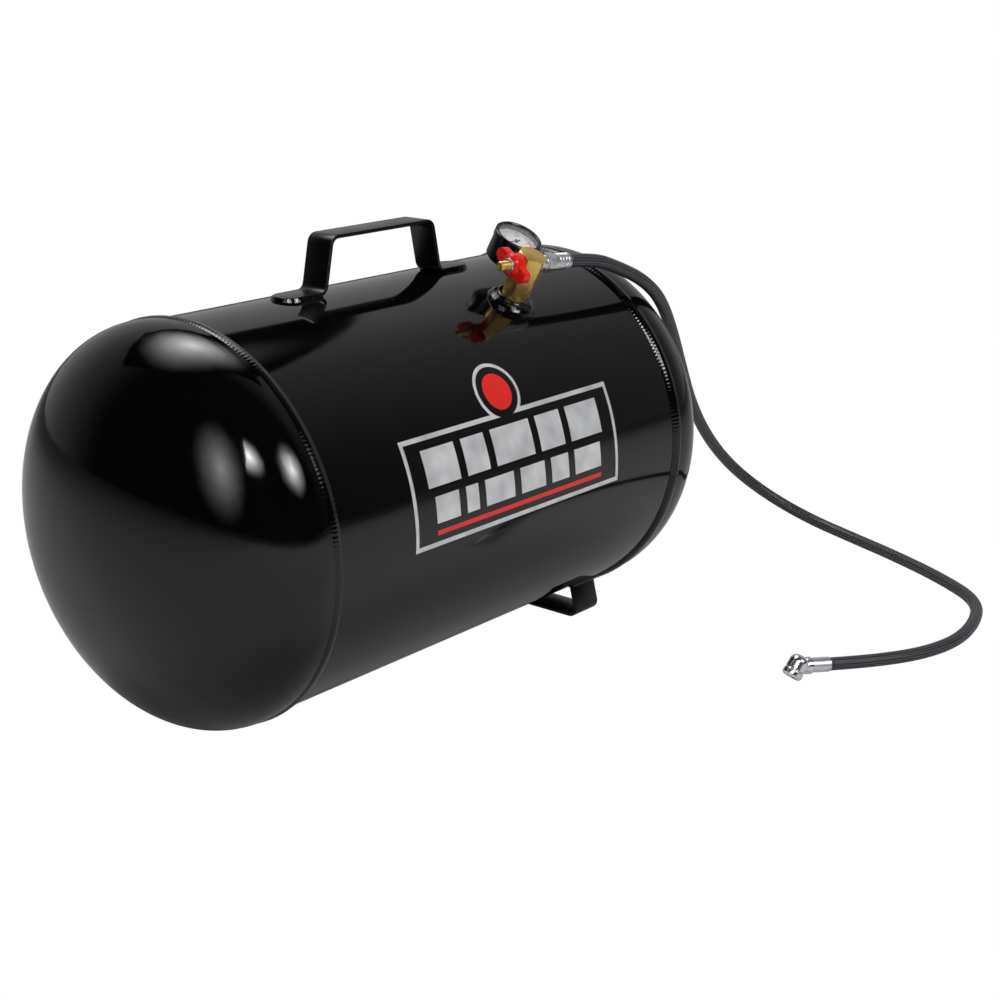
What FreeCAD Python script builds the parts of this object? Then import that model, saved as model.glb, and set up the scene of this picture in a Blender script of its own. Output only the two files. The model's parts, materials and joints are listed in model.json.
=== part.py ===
import FreeCAD, Part
import math
import os
import re
import Sketcher

# Portable air receiver: a welded steel tank with a strap handle on top, a cross
# foot under the far end and a low rest under the near end. A brass valve block
# stands in a welded bung, with a shut-off knob round a tyre-valve fill stem, a
# round pressure gauge and a hose that ends in an angled tyre chuck.
#
# Frame: X runs along the tank, Y across it, +Z up. The origin lies on the floor
# under the middle of the tank. Millimetres and degrees.

SIZES = [
    # tank
    ("tank_diameter", 304.8, "outside of the rolled shell"),
    ("shell_length", 425, "rolled shell, end to end"),
    ("shell_wall", 1.9, "sheet of the shell"),
    ("head_wall", 1.9, "sheet of the domed heads"),
    ("head_depth", 82.3, "depth of a dome past its straight skirt"),
    ("skirt_lap", 8, "how far a skirt laps over the shell"),
    ("skirt_land", 2.8, "straight skirt past the end of the shell"),
    ("seam_toe", 4, "seam weld on the shell, before the skirt"),
    ("seam_width", 10.2, "width of the seam weld"),
    ("seam_crown", 1.1, "rise of the seam weld over the skirt"),
    ("fit_gap", 0.05, "clearance of pieces that are fitted and welded"),
    ("belly_gap", 11.1, "floor to the lowest line of the shell"),
    # strap work
    ("strap_thickness", 3, "flat bar of handle and feet"),
    ("strap_width", 25.4, "flat bar of handle and near rest"),
    ("strap_bend", 6, "inside bend radius of the bar"),
    ("handle_x", -5, "middle of the handle along the tank"),
    ("handle_rise", 44.6, "top of the handle over the shell"),
    ("handle_top", 116, "handle top, between sharp corners"),
    ("handle_reach", 210, "handle, from tab end to tab end"),
    ("handle_lean", 12, "lean of the handle legs"),
    ("bead_leg", 3, "foot of a weld bead on bar work"),
    ("foot_x", 181, "middle of the cross foot"),
    ("foot_width", 32, "bar of the cross foot"),
    ("foot_span", 163, "cross foot, between sharp corners"),
    ("foot_slope", 0.25, "inward run of a foot leg for each unit of rise"),
    ("rest_x", -160, "middle of the near rest"),
    ("rest_base", 30, "near rest on the floor"),
    ("rest_reach", 76, "near rest, from tab end to tab end"),
    # bung and valve block
    ("valve_x", 76.3, "bung along the tank"),
    ("valve_angle", 29, "bung from the top towards -Y"),
    ("valve_twist", 7, "turn of the valve block in its thread"),
    ("bung_diameter", 28.8, "outside of the bung"),
    ("bung_height", 8.1, "bung over the shell"),
    ("bung_depth", 6.4, "bung inside the shell"),
    ("thread_diameter", 20.9, "tank thread of the valve block"),
    ("bead_width", 6.1, "foot of the bung weld"),
    ("block_flats", 21, "valve block across flats"),
    ("block_base", 10.6, "underside of the block over the shell"),
    ("block_top", 47.1, "top of the block over the shell"),
    ("port_height", 38.1, "axis of hose port and spindle over the shell"),
    ("gauge_port_height", 24.6, "axis of the gauge port over the shell"),
    ("running_fit", 0.05, "radial clearance of a turning fit"),
    ("chamber_bore", 10, "spindle chamber"),
    ("orifice_bore", 4, "seat orifice"),
    ("hose_port_bore", 13, "hose port"),
    ("gauge_port_bore", 10, "gauge port"),
    ("riser_bore", 5, "bore up from the tank"),
    ("riser_offset", 4, "riser from the middle, towards the knob"),
    ("bleed_height", 23.3, "bleed pin over the shell"),
    ("bleed_aside", 2.2, "bleed pin from the middle of its flat"),
    # spindle and knob
    ("stem_diameter", 7.7, "tyre-valve stem"),
    ("stem_length", 10.5, "stem past the knob"),
    ("core_bore", 4.4, "bore of the stem for its core"),
    ("knob_gap", 2, "block to knob"),
    ("knob_thickness", 10, "hub of the knob"),
    ("knob_hub", 19, "hub diameter"),
    ("knob_span", 36, "knob from wing tip to wing tip"),
    ("wing_thickness", 7, "thickness of a wing"),
    ("wing_tip", 9, "width of a wing at its tip"),
    ("knob_bore", 9, "spindle inside the knob"),
    # gauge
    ("gauge_offset", 45, "middle of the gauge from the middle of the block"),
    ("gauge_face", 12, "front rim of the gauge over its port axis"),
    ("case_diameter", 38.8, "outside of the case"),
    ("bezel_wall", 0.6, "wall of the bezel round the case"),
    ("case_depth", 22, "case, front edge to back"),
    ("case_wall", 1, "wall of the case"),
    ("lens_thickness", 1.5, "window"),
    ("socket_neck", 9.6, "gauge socket where it enters the case"),
    # hose and chuck
    ("hose_diameter", 11, "outside of the hose"),
    ("ferrule_diameter", 13.8, "crimped ferrules"),
    ("ferrule_length", 19.2, "ferrule at the block"),
    ("nut_flats", 14, "nut of the hose fitting across flats"),
    ("nut_length", 7.5, "nut of the hose fitting"),
    ("chuck_ferrule_length", 17, "ferrule at the chuck"),
    ("chuck_ferrule_diameter", 12.4, "smooth ferrule at the chuck"),
    ("chuck_neck_length", 6.4, "collar between ferrule and head"),
    ("chuck_neck_diameter", 14.2, "collar between ferrule and head"),
    ("chuck_diameter", 16.4, "head of the chuck"),
    ("chuck_back", 9.5, "closed end of the chuck from its middle"),
    ("chuck_front", 3, "open end of the chuck from its middle"),
    ("chuck_mouth", 8.2, "mouth that takes a tyre valve"),
    # label
    ("label_length", 247, "label along the tank"),
    ("label_start", 62.3, "upper edge of the label, from the top"),
    ("label_sweep", 31.7, "label round the shell"),
    ("label_thickness", 0.3, "printed film"),
]

# Sizes that follow from the driving ones, as formulas in their names.
FORMULAS = {
    "tank_r": "tank_diameter / 2",
    "axis_z": "tank_r + belly_gap",
    "shell_half": "shell_length / 2",
    "head_r": "tank_r + fit_gap + head_wall",
    "skirt_start": "shell_half - skirt_lap",
    "skirt_end": "shell_half + skirt_land",
    "block_r": "block_flats / 2",
    "bung_r": "bung_diameter / 2",
    "chamber_r": "chamber_bore / 2",
    "spindle_r": "chamber_r - running_fit",
    "stem_r": "stem_diameter / 2",
    "knob_back": "block_r + knob_gap",
    "knob_front": "knob_back + knob_thickness",
    "stem_end": "knob_front + stem_length",
    "case_r": "case_diameter / 2",
    "bezel_r": "case_r + bezel_wall",
    "case_inner": "case_r - case_wall",
    "case_back": "-case_depth - 2",
    "ferrule_r": "ferrule_diameter / 2",
    "chuck_r": "chuck_diameter / 2",
    "leg_line": "foot_span * foot_slope / 2 + axis_z",
    "leg_square": "1 + foot_slope * foot_slope",
    "leg_slant": "strap_thickness * sqrt(leg_square)",
    "foot_chord": "foot_span * foot_span / 4 + axis_z * axis_z - tank_r * tank_r",
    "leg_meets": "(leg_line - sqrt(leg_line * leg_line - leg_square * foot_chord)) / leg_square",
}

# Route of the hose: from the ferrule at the block, over the far shoulder of the
# tank, down to the floor and round in a loose bow to the chuck.
HOSE_ROUTE = [
    (119.7, -97, 327.5),
    (151, -100.4, 325.6),
    (183, -102, 314.5),
    (217, -103, 300.5),
    (252, -98.5, 279),
    (287, -88, 245),
    (328.6, -71.4, 202.9),
    (374.6, -54.6, 154.2),
    (423.1, -44.4, 107.6),
    (469, -46, 67),
    (505, -67, 34),
    (521, -109, 12.5),
    (514, -163, 5.6),
    (491, -222, 5.6),
    (460, -288, 5.6),
    (423, -344, 5.6),
    (366, -367, 5.6),
    (307, -372, 5.6),
    (246, -349.5, 5.9),
    (193.4, -319.3, 10.8),
]
CHUCK_MOUTH_WAY = (-0.59, 0.17, -0.79)

X_WAY = FreeCAD.Vector(1, 0, 0)
Y_WAY = FreeCAD.Vector(0, 1, 0)
Z_WAY = FreeCAD.Vector(0, 0, 1)

doc = FreeCAD.newDocument("air_receiver")
sheet = doc.addObject("Spreadsheet::Sheet", "dims")
for row, (alias, value, note) in enumerate(SIZES, start=1):
    sheet.set(f"A{row}", alias)
    sheet.set(f"B{row}", str(value))
    sheet.setAlias(f"B{row}", alias)
    sheet.set(f"C{row}", note)
doc.recompute()
ALIASES = {alias for alias, value, note in SIZES}
nodes = {}


# ---------------------------------------------------------------- helpers

def bound(text):
    """Write a size formula the way the document's expressions read it."""
    def swap(match):
        word = match.group(0)
        if word in FORMULAS:
            return "(" + bound(FORMULAS[word]) + ")"
        return "dims." + word if word in ALIASES else word
    return re.sub(r"[a-z_]+", swap, str(text))


def size(text):
    """The value of a size formula."""
    return float(sheet.evalExpression(bound(text)))


def place(x=0, y=0, z=0, turn=None):
    """A Placement at three size formulas, with a turn."""
    return FreeCAD.Placement(FreeCAD.Vector(size(x), size(y), size(z)), turn or FreeCAD.Rotation())


def turned_by(way, degrees):
    return FreeCAD.Rotation(way, size(degrees))


def keep(thing, label):
    """Name a finished sub-part."""
    thing.Label = label
    nodes[label] = thing
    return thing


def solid(kind, name, at=None, **sizes):
    """A Part primitive whose sizes are bound to the sheet."""
    thing = doc.addObject("Part::" + kind, name)
    for key, text in sizes.items():
        thing.setExpression(key, bound(text))
    if at is not None:
        thing.Placement = at
    return thing


def cut(name, base, *tools):
    """Take each tool away from the base."""
    for number, tool in enumerate(tools):
        result = doc.addObject("Part::Cut", f"{name}_cut_{number}")
        result.Base = base
        result.Tool = tool
        base = result
    return base


def fuse(name, *shapes):
    result = doc.addObject("Part::MultiFuse", name + "_fuse")
    result.Shapes = list(shapes)
    result.Refine = True
    return result


def group(name, *shapes):
    """Separate solids that share one node."""
    result = doc.addObject("Part::Compound", name + "_group")
    result.Links = list(shapes)
    return result


def mirrored(name, source, way, x=0):
    result = doc.addObject("Part::Mirroring", name)
    result.Source = source
    result.Normal = way
    result.Base = FreeCAD.Vector(size(x), 0, 0)
    return result


def outline(body, name, role, points):
    """A closed sketch of straight lines; each corner is a pair of size formulas."""
    sketch = body.newObject("Sketcher::SketchObject", name)
    plane = next(item for item in body.Origin.OriginFeatures if item.Role == role)
    sketch.AttachmentSupport = [(plane, "")]
    sketch.MapMode = "FlatFace"
    count = len(points)
    corners = [FreeCAD.Vector(size(across), size(up), 0) for across, up in points]
    for index in range(count):
        sketch.addGeometry(Part.LineSegment(corners[index], corners[(index + 1) % count]))
    for index in range(count):
        sketch.addConstraint(Sketcher.Constraint("Coincident", index, 2, (index + 1) % count, 1))
    for index, (across, up) in enumerate(points):
        spot = corners[index]
        for kind, text, value, axis in (("DistanceX", across, spot.x, -2), ("DistanceY", up, spot.y, -1)):
            if text == "0":
                sketch.addConstraint(Sketcher.Constraint("PointOnObject", index, 1, axis))
                continue
            number = sketch.addConstraint(Sketcher.Constraint(kind, -1, 1, index, 1, value))
            sketch.setExpression(f"Constraints[{number}]", bound(text))
    return sketch


def new_body(name, at=None):
    body = doc.addObject("PartDesign::Body", name)
    if at is not None:
        body.Placement = at
    return body


def turned(name, points, at=None):
    """A lathe-turned body: radius and height pairs, spun about its own Z."""
    body = new_body(name, at)
    profile = outline(body, name + "_profile", "XZ_Plane", points)
    spin = body.newObject("PartDesign::Revolution", name + "_turn")
    spin.Profile = profile
    spin.ReferenceAxis = (profile, ["V_Axis"])
    spin.Angle = 360
    doc.recompute()
    return body


def padded(name, role, points, length, at=None, middle=True):
    """A body cut from plate: an outline raised by a length."""
    body = new_body(name, at)
    profile = outline(body, name + "_profile", role, points)
    pad = body.newObject("PartDesign::Pad", name + "_pad")
    pad.Profile = profile
    pad.Midplane = middle
    pad.setExpression("Length", bound(length))
    doc.recompute()
    return body


def rounded(body, name, radius, wanted):
    """Round the edges of the body's last feature whose middle is wanted."""
    last = body.Tip
    names = []
    for number, edge in enumerate(last.Shape.Edges, start=1):
        if wanted(edge.BoundBox.Center, edge.BoundBox):
            names.append(f"Edge{number}")
    fillet = body.newObject("PartDesign::Fillet", name)
    fillet.Base = (last, names)
    fillet.setExpression("Radius", bound(radius))
    doc.recompute()
    return fillet


def bored(body, name, at, radius, height):
    """Cut a round hole into a body."""
    hole = body.newObject("PartDesign::SubtractiveCylinder", name)
    hole.Placement = at
    hole.setExpression("Radius", bound(radius))
    hole.setExpression("Height", bound(height))
    doc.recompute()
    return hole


def hexagon(flats):
    """Corner formulas of a hexagon with a flat towards +X."""
    corners = []
    for index in range(6):
        angle = 30 + 60 * index
        reach = f"{flats} / 2 / cos(30)"
        corners.append((f"{reach} * cos({angle})", f"{reach} * sin({angle})"))
    return corners


def near(value, target, slack=0.2):
    return abs(value - target) < slack


ALONG_X = FreeCAD.Rotation(Y_WAY, 90)


def tank_cylinder(name, extra=0):
    """The outside of the shell as a tool, from end to end."""
    at = place("-shell_length", 0, "axis_z", ALONG_X)
    return solid("Cylinder", name, at, Radius=f"tank_r + {extra}", Height="2 * shell_length")


# ---------------------------------------------------------------- tank

def valve_frame(height="0"):
    """Frame of the valve block: Z out of the shell, X towards the hose."""
    lean = turned_by(X_WAY, "valve_angle")
    foot = place("valve_x", 0, "axis_z") * FreeCAD.Placement(FreeCAD.Vector(), lean)
    twist = turned_by(Z_WAY, "-valve_twist")
    return foot * place(0, 0, f"tank_r + {height}") * FreeCAD.Placement(FreeCAD.Vector(), twist)


def make_shell():
    at = place("-shell_half", 0, "axis_z", ALONG_X)
    outside = solid("Cylinder", "shell_outside", at, Radius="tank_r", Height="shell_length")
    inside = solid("Cylinder", "shell_inside", at, Radius="tank_r - shell_wall", Height="shell_length")
    hole = solid("Cylinder", "bung_hole", valve_frame("-2 * bung_height"),
                 Radius="bung_r + fit_gap", Height="4 * bung_height")
    keep(cut("shell", outside, inside, hole), "shell")


def dome(name, radius, depth, start):
    """A straight skirt with half an ellipsoid on it, along its own Z."""
    skirt = solid("Cylinder", name + "_skirt", place(0, 0, start), Radius=radius,
                  Height=f"skirt_end - ({start})")
    cap = solid("Ellipsoid", name + "_cap", place(0, 0, "skirt_end"), Radius1=depth, Radius2=radius)
    cap.Angle1 = 0
    return fuse(name, skirt, cap)


def make_heads():
    outside = dome("head_outside", "head_r", "head_depth", "skirt_start")
    inside = dome("head_inside", "tank_r + fit_gap", "head_depth - head_wall", "skirt_start - 1")
    for label, way in (("head_near", -90), ("head_far", 90)):
        head = cut(label, outside, inside)
        head.Placement = place(0, 0, "axis_z", FreeCAD.Rotation(Y_WAY, way))
        keep(head, label)


def make_seam_welds():
    """A bead round the tank where each skirt edge lies on the shell."""
    profile = [
        ("tank_r + fit_gap", "skirt_start - seam_toe"),
        ("tank_r + fit_gap", "skirt_start - fit_gap"),
        ("head_r + fit_gap", "skirt_start - fit_gap"),
        ("head_r + fit_gap", "skirt_start - seam_toe + seam_width"),
        ("head_r + seam_crown * 0.7", "skirt_start - seam_toe + seam_width * 0.85"),
        ("head_r + seam_crown", "skirt_start - seam_toe + seam_width * 0.6"),
        ("head_r + seam_crown * 0.4", "skirt_start - seam_toe + seam_width * 0.3"),
        ("(tank_r + head_r) / 2 + 0.2", "skirt_start - seam_toe + seam_width * 0.1"),
    ]
    for label, way in (("seam_weld_near", -90), ("seam_weld_far", 90)):
        bead = turned(label, profile, place(0, 0, "axis_z", FreeCAD.Rotation(Y_WAY, way)))
        keep(bead, label)


# ---------------------------------------------------------------- bar work

def make_handle():
    half = "handle_top / 2"
    leg_foot = f"{half} + (handle_rise - strap_thickness) * tan(handle_lean)"
    leg_heel = f"{half} + handle_rise * tan(handle_lean) - strap_thickness / cos(handle_lean)"
    inner_top = f"{half} - strap_thickness * tan(45 - handle_lean / 2)"
    right = [
        (half, "handle_rise"),
        (leg_foot, "strap_thickness"),
        ("handle_reach / 2", "strap_thickness"),
        ("handle_reach / 2", "0"),
        (leg_heel, "0"),
        (inner_top, "handle_rise - strap_thickness"),
    ]
    left = [(f"-({across})", up) for across, up in reversed(right)]
    at = place("handle_x", 0, "axis_z + tank_r + fit_gap")
    body = padded("handle", "XZ_Plane", right + left, "strap_width", at)
    outer = [(size(half), size("handle_rise")), (size(leg_heel), 0)]
    inner = [(size(leg_foot), size("strap_thickness")),
             (size(inner_top), size("handle_rise - strap_thickness"))]

    def at_corner(corners):
        def wanted(middle, box):
            flat = box.XLength < 0.1 and box.ZLength < 0.1
            return flat and any(near(abs(middle.x), x) and near(middle.z, z) for x, z in corners)
        return wanted

    rounded(body, "handle_outer_bends", "strap_bend + strap_thickness", at_corner(outer))
    rounded(body, "handle_inner_bends", "strap_bend", at_corner(inner))
    reach = size("handle_reach / 2")
    rounded(body, "handle_tab_ends", "strap_width / 2 - 0.1",
            lambda middle, box: near(abs(middle.x), reach) and box.YLength < 0.1 and box.ZLength > 1)
    keep(body, "handle")


def make_handle_welds():
    """A bead along both sides and round the end of each tab of the handle."""
    start = "handle_top / 2 + handle_rise * tan(handle_lean) + 3"
    nose = "handle_reach / 2 - strap_width / 2"
    foot = "strap_width / 2 + bead_leg"
    crest = "strap_width / 2 + 0.6"
    low = "-bead_leg"
    high = "strap_thickness * 0.8"
    sides = [(foot, low), (crest, high), (f"-({crest})", high), (f"-({foot})", low)]
    at = place(f"handle_x + {start}", 0, "axis_z + tank_r + fit_gap")
    straight = padded("tab_bead", "YZ_Plane", sides, f"{nose} - ({start})", at, middle=False)
    tip_at = place(f"handle_x + {nose}", 0, f"axis_z + tank_r + fit_gap + {low}")
    tip = solid("Cone", "tab_bead_nose", tip_at, Radius1=foot, Radius2=crest, Height=f"{high} - ({low})")
    bar = solid("Box", "tab_bar", at * place(-5, "-strap_width / 2 - fit_gap", "-2 * bead_leg"),
                Length=f"{nose} - ({start}) + 5", Width="strap_width + 2 * fit_gap", Height="4 * bead_leg")
    bar_tip = solid("Cylinder", "tab_tip", tip_at * place(0, 0, "-bead_leg"),
                    Radius="strap_width / 2 + fit_gap", Height="4 * bead_leg")
    bead = cut("tab_bead_shape", fuse("tab_bead_all", straight, tip), bar, bar_tip,
               tank_cylinder("shell_under_tab", "fit_gap"))
    other = mirrored("tab_bead_other", bead, X_WAY, "handle_x")
    keep(group("handle_welds", bead, other), "handle_welds")


def make_cross_foot():
    half = "foot_span / 2"
    top = "axis_z / 2"
    right = [
        (half, "0"),
        (f"{half} - foot_slope * {top}", top),
        (f"{half} - foot_slope * {top} - leg_slant", top),
        (f"{half} - foot_slope * strap_thickness - leg_slant", "strap_thickness"),
    ]
    left = [(f"-({across})", up) for across, up in reversed(right)]
    body = padded("cross_foot", "YZ_Plane", right + left, "foot_width", place("foot_x", 0, 0))
    for name, (across, up), radius in (("foot_outer_bends", right[0], "strap_bend + 2"),
                                       ("foot_inner_bends", right[3], "strap_bend - 1")):
        spot = (size(across), size(up))
        rounded(body, name, radius,
                lambda middle, box: near(abs(middle.y), spot[0]) and near(middle.z, spot[1])
                and box.XLength > 5)
    bored(body, "foot_saddle", place("-foot_width", 0, "axis_z", ALONG_X), "tank_r + fit_gap",
          "2 * foot_width")
    keep(body, "cross_foot")


def make_foot_welds():
    """Beads inside and outside each leg of the cross foot, along the shell."""
    outer_y = "foot_span / 2 - foot_slope * leg_meets"
    beads = []
    for side, across in (("outer", outer_y), ("inner", f"{outer_y} - leg_slant")):
        at = place("foot_x - foot_width / 2", across, "leg_meets", ALONG_X)
        rod = solid("Cylinder", f"foot_bead_{side}", at, Radius="bead_leg * 0.9", Height="foot_width")
        lone = cut(f"foot_bead_{side}", rod, tank_cylinder(f"shell_over_{side}", "fit_gap"),
                   nodes["cross_foot"])
        beads.append(lone)
        beads.append(mirrored(f"foot_bead_{side}_other", lone, Y_WAY))
    keep(group("foot_welds", *beads), "foot_welds")


def make_near_rest():
    rise = "belly_gap - strap_thickness - fit_gap"
    offset = "strap_thickness * tan(22.5)"
    right = [
        ("rest_base / 2", "0"),
        (f"rest_base / 2 + {rise}", rise),
        ("rest_reach / 2", rise),
        ("rest_reach / 2", f"{rise} + strap_thickness"),
        (f"rest_base / 2 + {rise} - {offset}", f"{rise} + strap_thickness"),
        (f"rest_base / 2 - {offset}", "strap_thickness"),
    ]
    left = [(f"-({across})", up) for across, up in reversed(right)]
    keep(padded("near_rest", "XZ_Plane", right + left, "strap_width", place("rest_x", 0, 0)), "near_rest")


def make_rest_welds():
    """A bead along each side of the two tabs of the near rest."""
    beads = []
    start = "rest_base / 2 + belly_gap"
    at = place(f"rest_x + {start}", "strap_width / 2 + 0.5", "belly_gap", ALONG_X)
    rod = solid("Cylinder", "rest_bead", at, Radius="bead_leg * 0.7", Height=f"rest_reach / 2 - ({start})")
    lone = cut("rest_bead", rod, tank_cylinder("shell_over_rest", "fit_gap"), nodes["near_rest"])
    beads.append(lone)
    beads.append(mirrored("rest_bead_side", lone, Y_WAY))
    for index, bead in enumerate(list(beads)):
        beads.append(mirrored(f"rest_bead_end_{index}", bead, X_WAY, "rest_x"))
    keep(group("near_rest_welds", *beads), "near_rest_welds")


# ---------------------------------------------------------------- valve block

def make_bung():
    profile = [
        ("thread_diameter / 2 + fit_gap", "-bung_depth"),
        ("bung_r", "-bung_depth"),
        ("bung_r", "bung_height - 1"),
        ("bung_r - 1", "bung_height"),
        ("thread_diameter / 2 + fit_gap", "bung_height"),
    ]
    keep(turned("bung", profile, valve_frame()), "bung")
    bead = [
        ("bung_r + fit_gap", "-bung_depth"),
        ("bung_r + bead_width", "-bung_depth"),
        ("bung_r + bead_width", "0.6"),
        ("bung_r + bead_width * 0.72", "3.2"),
        ("bung_r + bead_width * 0.38", "5.2"),
        ("bung_r + fit_gap", "6.1"),
    ]
    ring = turned("bung_bead", bead, valve_frame())
    keep(cut("bung_weld", ring, tank_cylinder("shell_under_bung", "fit_gap")), "bung_weld")


def across_block(start, height="port_height", angle=0, aside=0):
    """A frame in the block whose Z runs level, away from the block's middle."""
    turn = FreeCAD.Placement(FreeCAD.Vector(), FreeCAD.Rotation(Z_WAY, angle))
    return turn * place(start, aside, height, ALONG_X)


def make_valve_block():
    hex_bar = padded("block_bar", "XY_Plane", hexagon("block_flats"), "block_top - block_base",
                     place(0, 0, "block_base"), middle=False)
    corner = "block_flats / 2 / cos(30)"
    turned_shape = turned("block_turning", [
        ("0", "block_base"),
        ("thread_diameter / 2 + 0.3", "block_base"),
        (f"{corner} + 0.5", "block_base + 4.2"),
        (f"{corner} + 0.5", "block_top - 1.2"),
        ("block_r - 0.2", "block_top"),
        ("0", "block_top"),
    ])
    body = doc.addObject("Part::Common", "block_bar_turned")
    body.Base = hex_bar
    body.Tool = turned_shape
    shank = solid("Cylinder", "block_shank", place(0, 0, "1 - bung_depth"), Radius="thread_diameter / 2",
                  Height="block_base + bung_depth")
    bores = [
        solid("Cylinder", "riser", place("-riser_offset", 0, "-bung_depth"), Radius="riser_bore / 2",
              Height="port_height + bung_depth"),
        solid("Cylinder", "chamber", across_block("-block_r - 1"), Radius="chamber_r", Height="block_r"),
        solid("Cylinder", "orifice", across_block(-2), Radius="orifice_bore / 2", Height="block_r"),
        solid("Cylinder", "hose_port", across_block(3), Radius="hose_port_bore / 2", Height="block_r"),
        solid("Cylinder", "gauge_port", across_block("block_r - 8", "gauge_port_height", 60),
              Radius="gauge_port_bore / 2", Height="block_r"),
        solid("Cylinder", "gauge_drill", across_block(-3, "gauge_port_height", 60), Radius=1.5,
              Height="block_r"),
        solid("Cylinder", "plug_hole", across_block("-block_r - 1", "bleed_height", 0, "bleed_aside"),
              Radius=0.9, Height=5.4),
    ]
    block = cut("valve_block", fuse("block_blank", body, shank), *bores)
    block.Placement = valve_frame()
    keep(block, "valve_block")
    pin_at = valve_frame() * across_block("-block_r + 0.4", "bleed_height", 0, "bleed_aside")
    keep(solid("Cylinder", "bleed_pin", pin_at, Radius=0.85, Height=3.9), "bleed_pin")


def knob_frame():
    """Frame of the spindle: Z out of the block towards the knob side."""
    return valve_frame() * place(0, 0, "port_height", FreeCAD.Rotation(Y_WAY, -90))


def make_spindle():
    groove = 8.5
    profile = [
        ("1", "2.7"),
        ("spindle_r", "2.7"),
        ("spindle_r", f"{groove} - 0.75"),
        ("spindle_r - 1.3", f"{groove} - 0.75"),
        ("spindle_r - 1.3", f"{groove} + 0.75"),
        ("spindle_r", f"{groove} + 0.75"),
        ("spindle_r", "knob_back - 0.1"),
        ("knob_bore / 2", "knob_back"),
        ("knob_bore / 2", "knob_front"),
        ("stem_r - 0.3", "knob_front"),
        ("stem_r - 0.3", "knob_front + 1.5"),
        ("stem_r", "knob_front + 1.5"),
        ("stem_r", "stem_end - 0.8"),
        ("stem_r - 0.6", "stem_end"),
        ("core_bore / 2", "stem_end"),
        ("core_bore / 2", "knob_front - 2"),
        ("1", "knob_front - 3.5"),
    ]
    body = turned("spindle", profile, knob_frame())
    bored(body, "spindle_cross_bore", place(0, "-chamber_bore", "4.8", FreeCAD.Rotation(X_WAY, -90)),
          "0.8", "2 * chamber_bore")
    keep(body, "spindle")
    seal_at = knob_frame() * place(0, 0, groove)
    keep(solid("Torus", "spindle_seal", seal_at, Radius1="spindle_r - 0.65", Radius2=0.6), "spindle_seal")
    disc_at = knob_frame() * place(0, 0, 1.1)
    keep(solid("Cylinder", "seat_disc", disc_at, Radius=3.2, Height=1.5), "seat_disc")
    washer = [
        ("stem_r + running_fit", "knob_front"),
        ("6", "knob_front"),
        ("6", "knob_front + 0.9"),
        ("5.7", "knob_front + 1.2"),
        ("stem_r + running_fit", "knob_front + 1.2"),
    ]
    keep(turned("knob_washer", washer, knob_frame()), "knob_washer")


def make_knob():
    """A moulded knob: a round hub with two wings that flare to their tips."""
    quarter = [("knob_hub / 2 - 1", "wing_tip / 2 + 1.2"), ("knob_span / 2", "wing_tip / 2")]
    wing = quarter + [(across, f"-({up})") for across, up in reversed(quarter)]
    wing += [(f"-({across})", f"-({up})") for across, up in quarter]
    wing += [(f"-({across})", up) for across, up in reversed(quarter)]
    middle_z = "knob_back + knob_thickness / 2 - wing_thickness / 2"
    blade = padded("knob_wings", "XY_Plane", wing, "wing_thickness",
                   place(0, 0, middle_z, FreeCAD.Rotation(Z_WAY, 84)), middle=False)
    tip = size("knob_span / 2")
    rounded(blade, "wing_tips", "wing_tip / 2 - 0.5",
            lambda middle, box: near(abs(middle.x), tip) and box.ZLength > 1 and box.XLength < 0.1)
    hub = turned("knob_hub_turning", [
        ("0", "knob_back"),
        ("knob_hub / 2", "knob_back"),
        ("knob_hub / 2", "knob_front - 1.5"),
        ("knob_hub / 2 - 1.5", "knob_front"),
        ("0", "knob_front"),
    ])
    bore = solid("Cylinder", "knob_hole", place(0, 0, "knob_back - 1"), Radius="knob_bore / 2 + running_fit",
                 Height="knob_thickness + 2")
    knob = cut("knob", fuse("knob_solid", blade, hub), bore)
    knob.Placement = knob_frame()
    keep(knob, "knob")


def coil_spring(label, radius, wire, start, length, turns, at):
    """A round-wire spring along its own Z."""
    helix = Part.makeHelix(length / turns, length, radius)
    section = Part.Wire(Part.makeCircle(wire, FreeCAD.Vector(radius, 0, 0), Y_WAY))
    spring = doc.addObject("Part::Feature", label)
    spring.Shape = Part.Wire(helix.Edges).makePipeShell([section], True, True)
    spring.Placement = at * place(0, 0, start)
    keep(spring, label)


def make_core():
    """The tyre-valve core inside the stem: barrel, pin and spring."""
    base = size("knob_front + 1.5")
    top = size("stem_end - 1.3")
    barrel = [
        ("0.95", base),
        ("core_bore / 2 - running_fit", base),
        ("core_bore / 2 - running_fit", top),
        ("0.95", top),
        ("0.95", top - 1.2),
        ("1.75", top - 1.2),
        ("1.75", base + 0.8),
        ("0.95", base + 0.8),
    ]
    keep(turned("core_barrel", [(r, str(z)) for r, z in barrel], knob_frame()), "core_barrel")
    pin = [
        ("0", base - 1),
        ("1.8", base - 1),
        ("1.8", base - 0.2),
        ("0.75", base - 0.2),
        ("0.75", top - 2.6),
        ("1.55", top - 2.6),
        ("1.55", top - 2),
        ("0.75", top - 2),
        ("0.75", top + 0.9),
        ("0", top + 0.9),
    ]
    keep(turned("core_pin", [(r, str(z)) for r, z in pin], knob_frame()), "core_pin")
    room = top - 2.6 - base - 0.8
    coil_spring("core_spring", 1.3, 0.16, base + 1, room - 0.4, 7, knob_frame())


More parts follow.
